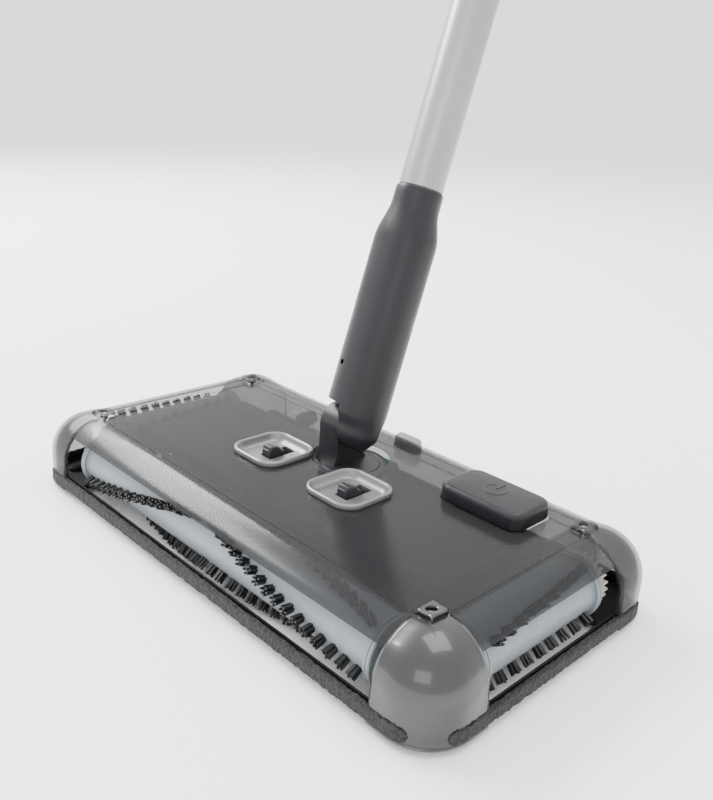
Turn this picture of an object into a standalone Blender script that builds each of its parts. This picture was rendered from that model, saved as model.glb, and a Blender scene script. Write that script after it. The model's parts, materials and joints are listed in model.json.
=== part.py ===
"""Powered floor and carpet sweeper with three edge rollers, a foot switch and a leaning swivel handle.

Metres, +Z up. The head is drawn about its own centre (X along its length, Y from front to rear, Z from
the floor), and the finished model is then moved so that its origin is the bottom centre of its box.
"""

import math

import bmesh
import bpy
from mathutils import Matrix, Vector

# Head
HEAD_LENGTH = 0.330
HEAD_DEPTH = 0.174
HEAD_TOP = 0.045
EDGE_RADIUS = 0.024
WALL = 0.0016
CAP_WALL = 0.0020
HOOD_STEP = 0.0010
GAP = 0.0003
CORNER_LENGTH = 0.034
CORNER_DEPTH = 0.036
SCREW_HOLE_RADIUS = 0.0026
HOOD_EDGE = 0.036
SIDE_WINDOW_REAR = 0.050
SIDE_CORE_INSET = 0.006

# Chassis
PLATE_LOW = 0.0032
PLATE_THICKNESS = 0.0030
RAIL_HEIGHT = 0.0055
RAIL_THICKNESS = 0.0011
POST_THICKNESS = 0.003
POST_WIDTH = 0.012
POST_RISE = 0.008

# Rollers and their drive
CORE_RADIUS = 0.0140
BRISTLE_CLEARANCE = 0.0011
SLEEVE_WALL = 0.0011
COLLAR_CLEARANCE = 0.0012
SLEEVE_MARGIN = 0.004
ROLLER_ROWS = 4
TUFT_HALF = 0.0014
TUFT_SINK = 0.0005
FRONT_TUFT_PITCH = 0.0072
FRONT_ROW_START = math.radians(210)
FRONT_ROW_SWING = math.radians(-85)
SIDE_TUFT_PITCH = 0.0090
SIDE_ROW_START = math.radians(52)
SIDE_ROW_TURN = math.radians(-24)
AXLE_RADIUS = 0.0025
BEVEL_TEETH = 12
BEVEL_PITCH_RADIUS = 0.0120
BEVEL_TOOTH_HEIGHT = 0.0011
BEVEL_TOOTH_DEPTH = 0.0017
BEVEL_LENGTH = 0.0045
GEAR_CLEARANCE = 0.0014
SPUR_TEETH = 24
PINION_TEETH = 8
GEAR_MODULE = 0.0011
SPUR_ROOT = 1.2
SPUR_TIP = 0.8
SPUR_ROOT_SHARE = 0.56
SPUR_TIP_SHARE = 0.20
SPUR_WIDTH = 0.0045
SPUR_CLEARANCE = 0.0008
MOTOR_RADIUS = 0.0110
MOTOR_LENGTH = 0.023
MOTOR_SHAFT_RADIUS = 0.0010
MOTOR_SHAFT_SEAT = 0.006
MOTOR_NOSE_RADIUS = 0.0045
MOTOR_NOSE_LENGTH = 0.0008
MOTOR_CLEARANCE = 0.0015

# Dust bins and doors
BIN_MIDDLE_GAP = 0.009
BIN_TOP = 0.0378
BIN_WALL = 0.0014
BIN_REAR = 0.038
BRISTLE_ROOM = 0.0022
INLET_LOW = 0.013
INLET_HIGH = 0.031
INLET_MARGIN = 0.008
DOOR_THICKNESS = 0.0022
DOOR_MARGIN = 0.0045
DOOR_CLEARANCE = 0.0006
PEG_RADIUS = 0.0008
PEG_LENGTH = 0.0015
PEG_CLEARANCE = 0.0003

# Wells and release levers
WELL_SPREAD = 0.0148
WELL_LUG_GAP = 0.0013
WELL_HALF = 0.0172
WELL_RIM = 0.0020
WELL_RIM_HEIGHT = 0.0022
WELL_RADIUS = 0.0085
LEVER_WIDTH = 0.0080
LEVER_DEPTH = 0.0110
LEVER_TRAVEL = 0.006
LEVER_TOP = 0.0475
LEVER_LEG = 0.005

# Foot pedal and power parts
PEDAL_X = 0.0905
PEDAL_Y = 0.0425
PEDAL_LENGTH = 0.052
PEDAL_DEPTH = 0.032
PEDAL_TOP = 0.0530
PEDAL_SKIRT = 0.0425
PEDAL_TRAVEL = 0.0035
PEDAL_CLEARANCE = 0.0007
PEDAL_CORNER = 0.0070
STEM_RADIUS = 0.0022
SPRING_RADIUS = 0.0032
SPRING_WIRE = 0.0004
SPRING_TURNS = 5
BATTERY_RADIUS = 0.0092
BATTERY_LENGTH = 0.066
BATTERY_X = -0.036
BATTERY_Y = 0.064
JACK_X = -0.100
JACK_RADIUS = 0.0040
JACK_SETBACK = 0.0012

# Bumper strips
STRIP_LOW = 0.0034
STRIP_HEIGHT = 0.0086
STRIP_OUT = 0.0010
STRIP_IN = 0.0021
STRIP_WRAP = math.radians(26)

# Wheels
WHEEL_RADIUS = 0.0047
WHEEL_WIDTH = 0.0045
WHEEL_CLEARANCE = 0.0010
REAR_WHEEL_X = 0.0700
REAR_WHEEL_Y = 0.0560
FRONT_WHEEL_OUT = 0.0065

# Turret and handle
TURRET_Y = 0.0250
TURRET_RADIUS = 0.0220
TURRET_LOW = 0.0360
TURRET_HIGH = 0.0400
PIVOT_HEIGHT = 0.0620
LUG_RADIUS = 0.0105
LUG_WIDTH = 0.0163
LAP_GAP = 0.0003
PIN_RADIUS = 0.0030
PIN_REACH = 0.0110
PIN_SETBACK = 0.0010
LUG_CLEARANCE = 0.0012
HUB_RADIUS = 0.0070
HUB_DEPTH = 0.0100
LEAN = math.radians(17.9)
NECK_LENGTH = 0.137
NECK_HALF_WIDTH = 0.0178
NECK_HALF_DEPTH = 0.0152
NECK_FOOT = 0.0120
TUBE_RADIUS = 0.0125
TUBE_WALL = 0.0011
SPIGOT_LENGTH = 0.028
TUBE_LENGTH = 0.290
TUBE_COUNT = 3
COUPLER_LENGTH = 0.040
COUPLER_WALL = 0.0016
GRIP_LENGTH = 0.130
RIM_CHAMFER = 0.001

# Worked out from the driving sizes
HALF_X = HEAD_LENGTH / 2
HALF_Y = HEAD_DEPTH / 2
CAP_X = HALF_X - CORNER_LENGTH
CAP_Y = HALF_Y - CORNER_DEPTH
COVER_TOP = HEAD_TOP - HOOD_STEP
PLATE_HIGH = PLATE_LOW + PLATE_THICKNESS
PLATE_MIDDLE = PLATE_LOW + PLATE_THICKNESS / 2
PLATE_MARGIN = STRIP_IN + GAP
ROLLER_X = HALF_X - EDGE_RADIUS
ROLLER_Y = HALF_Y - EDGE_RADIUS
ROLLER_Z = HEAD_TOP - EDGE_RADIUS
BRISTLE_RADIUS = EDGE_RADIUS - HOOD_STEP - WALL - BRISTLE_CLEARANCE
POST_TOP = ROLLER_Z + POST_RISE
POST_INNER = BEVEL_PITCH_RADIUS + GEAR_CLEARANCE + POST_THICKNESS
CORE_INSET = POST_INNER + COLLAR_CLEARANCE
FRONT_CORE = ROLLER_X - CORE_INSET
SIDE_CORE_FRONT = -ROLLER_Y + CORE_INSET
SIDE_CORE_REAR = SIDE_WINDOW_REAR - SIDE_CORE_INSET
REAR_POST = SIDE_CORE_REAR + COLLAR_CLEARANCE
SPUR_START = REAR_POST + POST_THICKNESS + SPUR_CLEARANCE
BIN_X = ROLLER_X - BRISTLE_RADIUS - BRISTLE_ROOM
BIN_FRONT = -ROLLER_Y + BRISTLE_RADIUS + BRISTLE_ROOM
DOOR_IN = BIN_MIDDLE_GAP + DOOR_MARGIN
DOOR_OUT = BIN_X - DOOR_MARGIN
DOOR_FRONT = BIN_FRONT + DOOR_MARGIN
DOOR_REAR = BIN_REAR - DOOR_MARGIN
BARREL_RADIUS = DOOR_THICKNESS / 2
SPUR_PITCH = GEAR_MODULE * SPUR_TEETH / 2
PINION_PITCH = GEAR_MODULE * PINION_TEETH / 2
MOTOR_X = ROLLER_X - SPUR_PITCH - PINION_PITCH
MOTOR_START = SPUR_START + SPUR_WIDTH + MOTOR_CLEARANCE
TUBE_BORE = TUBE_RADIUS - TUBE_WALL
WELL_X = WELL_SPREAD + WELL_HALF
WELL_Y = TURRET_Y - LUG_RADIUS - WELL_LUG_GAP - WELL_RIM - WELL_HALF
STEM_X = PEDAL_X - 0.002
STEM_Y = PEDAL_Y + 0.009
SWITCH_TOP = PEDAL_SKIRT - PEDAL_TRAVEL - 0.0095
CORNERS = {"front_left": (-1, -1), "front_right": (1, -1), "rear_left": (-1, 1), "rear_right": (1, 1)}

UP = Matrix.Identity(4)
ALONG_X = Matrix(((0, 0, 1, 0), (1, 0, 0, 0), (0, 1, 0, 0), (0, 0, 0, 1)))
ALONG_Y = Matrix(((0, 1, 0, 0), (0, 0, 1, 0), (1, 0, 0, 0), (0, 0, 0, 1)))
LEANING = Matrix.Translation((0, TURRET_Y, PIVOT_HEIGHT)) @ Matrix.Rotation(-LEAN, 4, "X")


def finish(name, colour, roughness, metallic=0.0, alpha=1.0):
    """A named Principled material."""
    material = bpy.data.materials.new(name)
    material.use_nodes = True
    shader = material.node_tree.nodes["Principled BSDF"]
    shader.inputs["Base Color"].default_value = (*colour, 1.0)
    shader.inputs["Roughness"].default_value = roughness
    shader.inputs["Metallic"].default_value = metallic
    shader.inputs["Alpha"].default_value = alpha
    material.diffuse_color = (*colour, alpha)
    return material


def rounded(half_x, half_y, radius, centre=(0.0, 0.0), steps=5):
    """Outline of a rounded rectangle, anticlockwise."""
    points = []
    for quarter, (side_x, side_y) in enumerate(((1, 1), (-1, 1), (-1, -1), (1, -1))):
        for step in range(steps + 1):
            angle = math.pi / 2 * (quarter + step / steps)
            points.append((
                centre[0] + side_x * (half_x - radius) + radius * math.cos(angle),
                centre[1] + side_y * (half_y - radius) + radius * math.sin(angle),
            ))
    return points


def rectangle(low, high):
    """Outline of a plain rectangle between two corners."""
    return [(low[0], low[1]), (high[0], low[1]), (high[0], high[1]), (low[0], high[1])]


def circle(radius, steps, centre=(0.0, 0.0)):
    """Outline of a circle."""
    turn = 2 * math.pi / steps
    return [
        (centre[0] + radius * math.cos(turn * k), centre[1] + radius * math.sin(turn * k))
        for k in range(steps)
    ]


def toothed(teeth, root, tip, root_share, tip_share, phase=0.0):
    """Outline of a gear: each tooth is a trapezium that fills a share of its pitch at root and tip."""
    pitch = 2 * math.pi / teeth
    points = []
    for tooth in range(teeth):
        middle = tooth * pitch + phase
        for radius, offset in (
            (root, -root_share / 2), (tip, -tip_share / 2), (tip, tip_share / 2), (root, root_share / 2),
        ):
            angle = middle + offset * pitch
            points.append((radius * math.cos(angle), radius * math.sin(angle)))
    return points


def level(outline, height):
    """An outline set at a height."""
    return [(x, y, height) for x, y in outline]


def skin(name, rings, holes, material, smooth_angle=None, place=UP):
    """A closed body lofted through rings of equal count, with an optional lofted hole through it."""
    mesh = bmesh.new()
    loops = [[mesh.verts.new(place @ Vector(point)) for point in ring] for ring in rings]
    bores = [[mesh.verts.new(place @ Vector(point)) for point in ring] for ring in holes or ()]
    pairs = list(zip(loops, loops[1:])) + [(upper, lower) for lower, upper in zip(bores, bores[1:])]
    if bores:
        pairs += [(bores[0], loops[0]), (loops[-1], bores[-1])]
    else:
        mesh.faces.new(reversed(loops[0]))
        mesh.faces.new(loops[-1])
    for lower, upper in pairs:
        count = len(lower)
        for k in range(count):
            after = (k + 1) % count
            mesh.faces.new((lower[k], lower[after], upper[after], upper[k]))
    bmesh.ops.recalc_face_normals(mesh, faces=mesh.faces)
    data = bpy.data.meshes.new(name)
    mesh.to_mesh(data)
    mesh.free()
    data.materials.append(material)
    if smooth_angle is not None:
        data.shade_smooth()
        data.set_sharp_from_angle(angle=smooth_angle)
    body = bpy.data.objects.new(name, data)
    bpy.context.scene.collection.objects.link(body)
    return body


def prism(name, outline, low, high, material, hole=None, place=UP, smooth_angle=None):
    """An outline raised from one height to another, with an optional hole of the same point count."""
    holes = [level(hole, low), level(hole, high)] if hole else None
    return skin(name, [level(outline, low), level(outline, high)], holes, material, smooth_angle, place)


def box(name, low, high, material):
    """A box between two opposite corners."""
    return prism(name, rectangle(low, high), low[2], high[2], material)


def turned(name, profile, steps, material, bore=None, place=UP, smooth_angle=math.radians(35)):
    """A turned body from (radius, height) points; bore is the same kind of list for its inside."""
    rings = [level(circle(radius, steps), height) for radius, height in profile]
    holes = [level(circle(radius, steps), height) for radius, height in bore] if bore else None
    return skin(name, rings, holes, material, smooth_angle, place)


def combine(body, other, operation):
    """Apply one exact Boolean and clear its tool away."""
    modifier = body.modifiers.new(operation, "BOOLEAN")
    modifier.operation = operation
    modifier.solver = "EXACT"
    modifier.object = other
    graph = bpy.context.evaluated_depsgraph_get()
    result = bpy.data.meshes.new_from_object(body.evaluated_get(graph))
    body.modifiers.clear()
    body.data = result
    bpy.data.objects.remove(other)
    return body


def cut(body, *tools):
    """Take each tool away from a body."""
    for tool in tools:
        combine(body, tool, "DIFFERENCE")
    return body


def join(body, *others):
    """Unite bodies that overlap."""
    for other in others:
        combine(body, other, "UNION")
    return body


def dome_rings(margin, low, arc_steps=6):
    """Rings of the head's rounded box, offset inwards by a margin and open at its foot."""
    radius = EDGE_RADIUS - margin
    half_x = HALF_X - margin
    half_y = HALF_Y - margin
    rings = [level(rounded(half_x, half_y, radius), low)]
    for step in range(arc_steps + 1):
        angle = math.pi / 2 * step / arc_steps
        inset = radius * (1 - math.cos(angle))
        corner = max(radius - inset, 0.0005)
        height = HEAD_TOP - EDGE_RADIUS + radius * math.sin(angle)
        rings.append(level(rounded(half_x - inset, half_y - inset, corner), height))
    return rings


def dome_shell(name, outer_margin, thickness, low, material):
    """A shell of the head's rounded box, open at its foot."""
    shell = skin(name, dome_rings(outer_margin, low), None, material, math.radians(40))
    return cut(shell, skin("hollow", dome_rings(outer_margin + thickness, low - WALL), None, material))


def strip_outline(side_x, side_y, extra):
    """Plan of a bumper strip along one edge, wrapping a little way round each corner."""
    along_x = side_x == 0
    middle = HALF_X - EDGE_RADIUS if along_x else HALF_Y - EDGE_RADIUS
    base = HALF_Y - EDGE_RADIUS if along_x else HALF_X - EDGE_RADIUS
    wrap = STRIP_WRAP + extra / EDGE_RADIUS
    steps = 4
    outer = []
    inner = []
    for end, order in ((-1, range(steps, -1, -1)), (1, range(steps + 1))):
        for step in order:
            angle = wrap * step / steps
            for points, radius in (
                (outer, EDGE_RADIUS + STRIP_OUT + extra), (inner, EDGE_RADIUS - STRIP_IN - extra),
            ):
                points.append((end * (middle + radius * math.sin(angle)), base + radius * math.cos(angle)))
    loop = outer + inner[::-1]
    if along_x:
        return [(x, side_y * y) for x, y in loop]
    return [(side_x * y, x) for x, y in loop]


def strip(name, side_x, side_y, material, extra=0.0, low=STRIP_LOW):
    """A bumper strip, or with an extra the space that it needs."""
    high = STRIP_LOW + STRIP_HEIGHT + extra
    return prism(name, strip_outline(side_x, side_y, extra), low, high, material)


STRIP_SIDES = {"front": (0, -1), "rear": (0, 1), "left": (-1, 0), "right": (1, 0)}


def strip_spaces(material):
    """The spaces of all four strips, open at the foot."""
    return [strip("strip_space", *side, material, GAP, -STRIP_LOW) for side in STRIP_SIDES.values()]


def build_cover(looks):
    """Smoked top cover: window, band and hoods in one moulding, open over the rollers."""
    smoke = looks["smoke"]
    cover = dome_shell("top_cover", HOOD_STEP, WALL, PLATE_HIGH + GAP, smoke)
    beyond = HALF_X + EDGE_RADIUS
    for side_x, side_y in CORNERS.values():
        xs = sorted((side_x * CAP_X, side_x * beyond))
        ys = sorted((side_y * CAP_Y, side_y * beyond))
        cut(cover, box("corner", (xs[0], ys[0], -beyond), (xs[1], ys[1], beyond), smoke))
    front_low = -HALF_Y - WALL
    cut(cover, box("front_window", (-beyond, front_low, -WALL), (beyond, -ROLLER_Y, HOOD_EDGE), smoke))
    for side in (-1, 1):
        xs = sorted((side * ROLLER_X, side * beyond))
        low = (xs[0], -CAP_Y - WALL, -WALL)
        cut(cover, box("side_window", low, (xs[1], SIDE_WINDOW_REAR, HOOD_EDGE), smoke))
        well = rounded(WELL_HALF + GAP, WELL_HALF + GAP, WELL_RADIUS, (side * WELL_X, WELL_Y))
        cut(cover, prism("well_hole", well, BIN_TOP, HEAD_TOP, smoke))
    pedal = rounded(
        PEDAL_LENGTH / 2 + PEDAL_CLEARANCE, PEDAL_DEPTH / 2 + PEDAL_CLEARANCE, 0.0075, (PEDAL_X, PEDAL_Y),
    )
    cut(cover, prism("pedal_hole", pedal, BIN_TOP, PEDAL_TOP, smoke))
    turret = circle(TURRET_RADIUS + 0.001, 32, (0, TURRET_Y))
    cut(cover, prism("turret_hole", turret, BIN_TOP, HEAD_TOP, smoke))
    jack = circle(JACK_RADIUS + GAP, 20, (JACK_X, ROLLER_Z))
    jack_place = Matrix(((1, 0, 0, 0), (0, 0, 1, 0), (0, 1, 0, 0), (0, 0, 0, 1)))
    cut(cover, prism("jack_hole", jack, ROLLER_Y, HALF_Y + WALL, smoke, place=jack_place))
    cut(cover, strip("rear_strip_space", 0, 1, smoke, GAP, -STRIP_LOW))
    for side in (-1, 1):
        cut(cover, strip("side_strip_space", side, 0, smoke, GAP, -STRIP_LOW))
    tab = box("rear_tab", (0.004, 0.056, COVER_TOP - 0.0012), (0.022, 0.0635, COVER_TOP + 0.0075), smoke)
    return join(cover, tab)


def build_caps(looks):
    """Four corner caps, cut from one domed shell, each with its screw."""
    caps = []
    for corner, (side_x, side_y) in CORNERS.items():
        cap = dome_shell("corner_cap_" + corner, 0.0, CAP_WALL, PLATE_LOW, looks["satin"])
        xs = sorted((side_x * (CAP_X + GAP), side_x * HEAD_LENGTH))
        ys = sorted((side_y * (CAP_Y + GAP), side_y * HEAD_LENGTH))
        reach = box("corner", (xs[0], ys[0], 0), (xs[1], ys[1], HEAD_TOP * 2), looks["satin"])
        combine(cap, reach, "INTERSECT")
        cut(cap, *strip_spaces(looks["satin"]))
        centre = (side_x * (ROLLER_X - 0.006), side_y * (ROLLER_Y - 0.006))
        hole = circle(SCREW_HOLE_RADIUS, 20, centre)
        cut(cap, prism("screw_hole", hole, HEAD_TOP / 2, HEAD_TOP * 2, looks["satin"]))
        profile = [(0.0012, HEAD_TOP - 0.0062), (0.0012, HEAD_TOP - 0.0026), (0.0022, HEAD_TOP - 0.0026)]
        profile += [(0.0022, HEAD_TOP - 0.0010), (0.0014, HEAD_TOP - 0.0004)]
        place = Matrix.Translation((*centre, 0))
        screw = turned("corner_screw_" + corner, profile, 12, looks["steel"], place=place)
        caps += [cap, screw]
    return caps


def roller_post(name, place, material):
    """An upright with a bearing hole for a roller's axle, its foot sunk in the plate."""
    outline = rectangle((-POST_WIDTH / 2, PLATE_MIDDLE - ROLLER_Z), (POST_WIDTH / 2, POST_TOP - ROLLER_Z))
    post = prism(name, outline, 0, POST_THICKNESS, material, place=place)
    hole = prism(
        "axle_hole", circle(AXLE_RADIUS + GAP, 20), -POST_THICKNESS, 2 * POST_THICKNESS, material, place=place,
    )
    return cut(post, hole)


def peg_socket(x, y, z, axis, reach, material):
    """The space round a pair of pegs that stick out of a moving piece."""
    shaft = circle(PEG_RADIUS + PEG_CLEARANCE, 12)
    return prism("peg_socket", shaft, -reach, reach, material, place=Matrix.Translation((x, y, z)) @ axis)


def wheel_places():
    """The four floor wheels and where they stand."""
    front_x = ROLLER_X + FRONT_WHEEL_OUT
    front_y = -ROLLER_Y - FRONT_WHEEL_OUT
    return {
        "front_left": (-front_x, front_y), "front_right": (front_x, front_y),
        "rear_left": (-REAR_WHEEL_X, REAR_WHEEL_Y), "rear_right": (REAR_WHEEL_X, REAR_WHEEL_Y),
    }


def build_chassis(looks):
    """Floor plate with roller slots, door openings, wheel pockets, posts, rails, ribs and turret pillar."""
    black = looks["chassis"]
    outline = rounded(HALF_X - PLATE_MARGIN, HALF_Y - PLATE_MARGIN, EDGE_RADIUS - PLATE_MARGIN)
    plate = prism("base_chassis", outline, PLATE_LOW, PLATE_HIGH, black)
    reach = BRISTLE_RADIUS - 0.0015
    edge = RAIL_THICKNESS + PLATE_MARGIN
    slots = [((-FRONT_CORE - 0.001, -HALF_Y + edge), (FRONT_CORE + 0.001, -ROLLER_Y + reach))]
    for side in (-1, 1):
        xs = sorted((side * (ROLLER_X - reach), side * (HALF_X - edge)))
        slots.append(((xs[0], SIDE_CORE_FRONT - 0.001), (xs[1], SIDE_CORE_REAR + 0.001)))
        xs = sorted((side * (DOOR_IN - DOOR_CLEARANCE), side * (DOOR_OUT + BARREL_RADIUS + DOOR_CLEARANCE)))
        slots.append(((xs[0], DOOR_FRONT - DOOR_CLEARANCE), (xs[1], DOOR_REAR + DOOR_CLEARANCE)))
    half_wheel = WHEEL_WIDTH / 2 + WHEEL_CLEARANCE / 2
    pocket = WHEEL_RADIUS + WHEEL_CLEARANCE
    for x, y in wheel_places().values():
        slots.append(((x - half_wheel, y - pocket), (x + half_wheel, y + pocket)))
    for low, high in slots:
        cut(plate, box("slot", (*low, -PLATE_HIGH), (*high, 2 * PLATE_HIGH), black))
    for x, y in wheel_places().values():
        cut(plate, peg_socket(x, y, WHEEL_RADIUS, ALONG_X, half_wheel + PEG_LENGTH + GAP, black))
    door_middle = (DOOR_FRONT + DOOR_REAR) / 2
    door_reach = (DOOR_REAR - DOOR_FRONT) / 2 + DOOR_CLEARANCE + PEG_LENGTH
    for side in (-1, 1):
        cut(plate, peg_socket(side * DOOR_OUT, door_middle, PLATE_MIDDLE, ALONG_Y, door_reach, black))
    rail_top = PLATE_HIGH + RAIL_HEIGHT
    rail_out = HALF_Y - PLATE_MARGIN
    low = (-CAP_X, -rail_out, PLATE_MIDDLE)
    additions = [box("front_rail", low, (CAP_X, -rail_out + RAIL_THICKNESS, rail_top), black)]
    for side in (-1, 1):
        xs = sorted((side * (HALF_X - PLATE_MARGIN), side * (HALF_X - edge)))
        rear = SIDE_WINDOW_REAR - 0.001
        additions.append(box("side_rail", (xs[0], -CAP_Y, PLATE_MIDDLE), (xs[1], rear, rail_top), black))
        start = side * (ROLLER_X - POST_INNER)
        if side < 0:
            start -= POST_THICKNESS
        place = Matrix.Translation((start, -ROLLER_Y, ROLLER_Z)) @ ALONG_X
        additions.append(roller_post("post", place, black))
        for y in (-ROLLER_Y + POST_INNER - POST_THICKNESS, REAR_POST):
            place = Matrix.Translation((side * ROLLER_X, y, ROLLER_Z)) @ ALONG_Y
            place = place @ Matrix.Rotation(-math.pi / 2, 4, "Z")
            additions.append(roller_post("post", place, black))
    saddle_top = ROLLER_Z - MOTOR_RADIUS - GAP
    motor_end = MOTOR_START + MOTOR_LENGTH
    additions.append(box(
        "motor_saddle", (MOTOR_X - 0.008, MOTOR_START + 0.003, PLATE_MIDDLE),
        (MOTOR_X + 0.008, motor_end - 0.003, saddle_top), black,
    ))
    for x in (BATTERY_X - 0.02, BATTERY_X + 0.02):
        low = (x - 0.002, BATTERY_Y - 0.008, PLATE_MIDDLE)
        high = (x + 0.002, BATTERY_Y + 0.008, PLATE_HIGH + 0.0022)
        additions.append(box("battery_rib", low, high, black))
    pillar = turned(
        "pillar", [(TURRET_RADIUS, PLATE_MIDDLE), (TURRET_RADIUS, TURRET_LOW - GAP)], 32, black,
        place=Matrix.Translation((0, TURRET_Y, 0)),
    )
    cut(pillar, *door_side_cuts(black))
    bore = circle(HUB_RADIUS + GAP, 24, (0, TURRET_Y))
    cut(pillar, prism("hub_bore", bore, TURRET_LOW - HUB_DEPTH - 0.001, HEAD_TOP, black))
    additions.append(pillar)
    return join(plate, *additions)


def door_side_cuts(material):
    """Clears the pillar's foot where the bins' doors reach."""
    cuts = []
    for side in (-1, 1):
        xs = sorted((side * (DOOR_IN - DOOR_CLEARANCE), side * HALF_X))
        high = (xs[1], DOOR_REAR + DOOR_CLEARANCE, PLATE_HIGH + GAP)
        cuts.append(box("door_room", (xs[0], BIN_FRONT, -PLATE_HIGH), high, material))
    return cuts


def build_bins(looks):
    """Two dust bins: dark boxes open below, with inlets towards the rollers."""
    bins = []
    dark = looks["bin"]
    low = PLATE_HIGH + GAP
    for name, side in (("dust_bin_left", -1), ("dust_bin_right", 1)):
        xs = sorted((side * BIN_MIDDLE_GAP, side * BIN_X))
        middle = (sum(xs) / 2, (BIN_FRONT + BIN_REAR) / 2)
        half_x = (xs[1] - xs[0]) / 2
        half_y = (BIN_REAR - BIN_FRONT) / 2
        bin_body = prism(name, rounded(half_x, half_y, 0.004, middle), low, BIN_TOP, dark)
        hollow = rounded(half_x - BIN_WALL, half_y - BIN_WALL, 0.0026, middle)
        space = prism("space", hollow, 0, BIN_TOP - BIN_WALL, dark)
        turret = Matrix.Translation((0, TURRET_Y, 0))
        for body, room in ((bin_body, GAP * 2), (space, GAP * 2 + BIN_WALL)):
            radius = TURRET_RADIUS + room
            room = [(radius, -HEAD_TOP), (radius, HEAD_TOP)]
            cut(body, turned("pillar_room", room, 32, dark, place=turret))
        cut(bin_body, space)
        front = BIN_FRONT - BIN_WALL
        cut(bin_body, box(
            "front_inlet", (xs[0] + INLET_MARGIN, front, INLET_LOW),
            (xs[1] - INLET_MARGIN, BIN_FRONT + 2 * BIN_WALL, INLET_HIGH), dark,
        ))
        ends = sorted((side * (BIN_X - 2 * BIN_WALL), side * (BIN_X + BIN_WALL)))
        cut(bin_body, box(
            "side_inlet", (ends[0], BIN_FRONT + INLET_MARGIN, INLET_LOW),
            (ends[1], BIN_REAR - INLET_MARGIN, INLET_HIGH), dark,
        ))
        bins.append(bin_body)
    return bins


def build_doors(looks):
    """Floor doors of the bins, each with a barrel and two pegs along its outer edge."""
    doors = []
    half = DOOR_THICKNESS / 2
    for name, side in (("dust_door_left", -1), ("dust_door_right", 1)):
        xs = sorted((side * DOOR_IN, side * DOOR_OUT))
        low = (xs[0], DOOR_FRONT, PLATE_MIDDLE - half)
        door = box(name, low, (xs[1], DOOR_REAR, PLATE_MIDDLE + half), looks["chassis"])
        middle = (DOOR_FRONT + DOOR_REAR) / 2
        reach = (DOOR_REAR - DOOR_FRONT) / 2
        peg = reach + DOOR_CLEARANCE + PEG_LENGTH - GAP
        profile = [(PEG_RADIUS, -peg), (PEG_RADIUS, -reach), (BARREL_RADIUS, -reach)]
        profile += [(radius, -height) for radius, height in reversed(profile)]
        place = Matrix.Translation((side * DOOR_OUT, middle, PLATE_MIDDLE)) @ ALONG_Y
        doors.append(join(door, turned("barrel", profile, 12, looks["chassis"], place=place)))
    return doors


def build_wells(looks):
    """Bright bezels round the two wells, and the sprung release levers in them."""
    pieces = []
    floor_low = BIN_TOP + 0.0024
    rim_low = COVER_TOP + GAP
    rim_high = COVER_TOP + WELL_RIM_HEIGHT
    for name, side in (("left", -1), ("right", 1)):
        centre = (side * WELL_X, WELL_Y)
        flange = rounded(WELL_HALF + WELL_RIM, WELL_HALF + WELL_RIM, WELL_RADIUS + WELL_RIM, centre)
        middle = WELL_HALF + WELL_RIM / 2
        top = rounded(middle, middle, WELL_RADIUS + WELL_RIM / 2, centre)
        body = rounded(WELL_HALF, WELL_HALF, WELL_RADIUS, centre)
        rings = [level(body, floor_low), level(body, rim_low), level(flange, rim_low)]
        rings += [level(flange, rim_high - WELL_RIM / 3), level(top, rim_high)]
        bezel = skin("well_bezel_" + name, rings, None, looks["bezel"], math.radians(50))
        dish_top = rounded(WELL_HALF - 0.001, WELL_HALF - 0.001, WELL_RADIUS, centre)
        dish_foot = rounded(WELL_HALF - 0.004, WELL_HALF - 0.004, WELL_RADIUS - 0.002, centre)
        dish = [level(dish_foot, floor_low + 0.0012), level(dish_top, rim_high + GAP)]
        cut(bezel, skin("dish", dish, None, looks["bezel"]))
        front = WELL_Y - LEVER_DEPTH / 2
        slot_half = LEVER_WIDTH / 2 + 0.0005
        slot_low = (centre[0] - slot_half, front - 0.0005, 0)
        slot_high = (centre[0] + slot_half, front + 0.005 + LEVER_TRAVEL + 0.0005, HEAD_TOP * 2)
        cut(bezel, box("lever_slot", slot_low, slot_high, looks["bezel"]))
        half = LEVER_WIDTH / 2
        wedge = [(front, floor_low - 0.0015), (front + LEVER_LEG, floor_low - 0.0015)]
        wedge.append((front + LEVER_LEG, floor_low + 0.0018))
        wedge += [(front + LEVER_DEPTH, floor_low + 0.0018), (front + LEVER_DEPTH, floor_low + 0.0034)]
        wedge += [(front + 0.006, LEVER_TOP), (front + 0.002, LEVER_TOP), (front, LEVER_TOP - 0.002)]
        lever = prism(
            "release_lever_" + name, wedge, -half, half, looks["grey"],
            place=Matrix.Translation((centre[0], 0, 0)) @ ALONG_X,
        )
        inner = side * (BIN_MIDDLE_GAP - 0.0075)
        xs = sorted((inner, centre[0] + side * half))
        slide = box(
            "slide", (xs[0], front, floor_low - 0.0018), (xs[1], front + LEVER_LEG, floor_low - 0.0004),
            looks["grey"],
        )
        leg_xs = sorted((inner, inner + side * 0.0055))
        high = (leg_xs[1], front + LEVER_LEG, floor_low - 0.0004)
        leg = box("leg", (leg_xs[0], front, PLATE_HIGH + 0.0015), high, looks["grey"])
        pieces += [bezel, join(lever, slide, leg)]
    return pieces


def tuft_places(start, end, pitch, row_angle):
    """Angle and station of every tuft: rows share out the turn and follow row_angle along the roller."""
    count = round((end - start) / pitch)
    places = []
    for row in range(ROLLER_ROWS):
        for k in range(count):
            share = (k + 0.5) / count
            angle = row_angle(share) + 2 * math.pi * row / ROLLER_ROWS
            places.append((angle, start + (end - start) * share))
    return places


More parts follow.
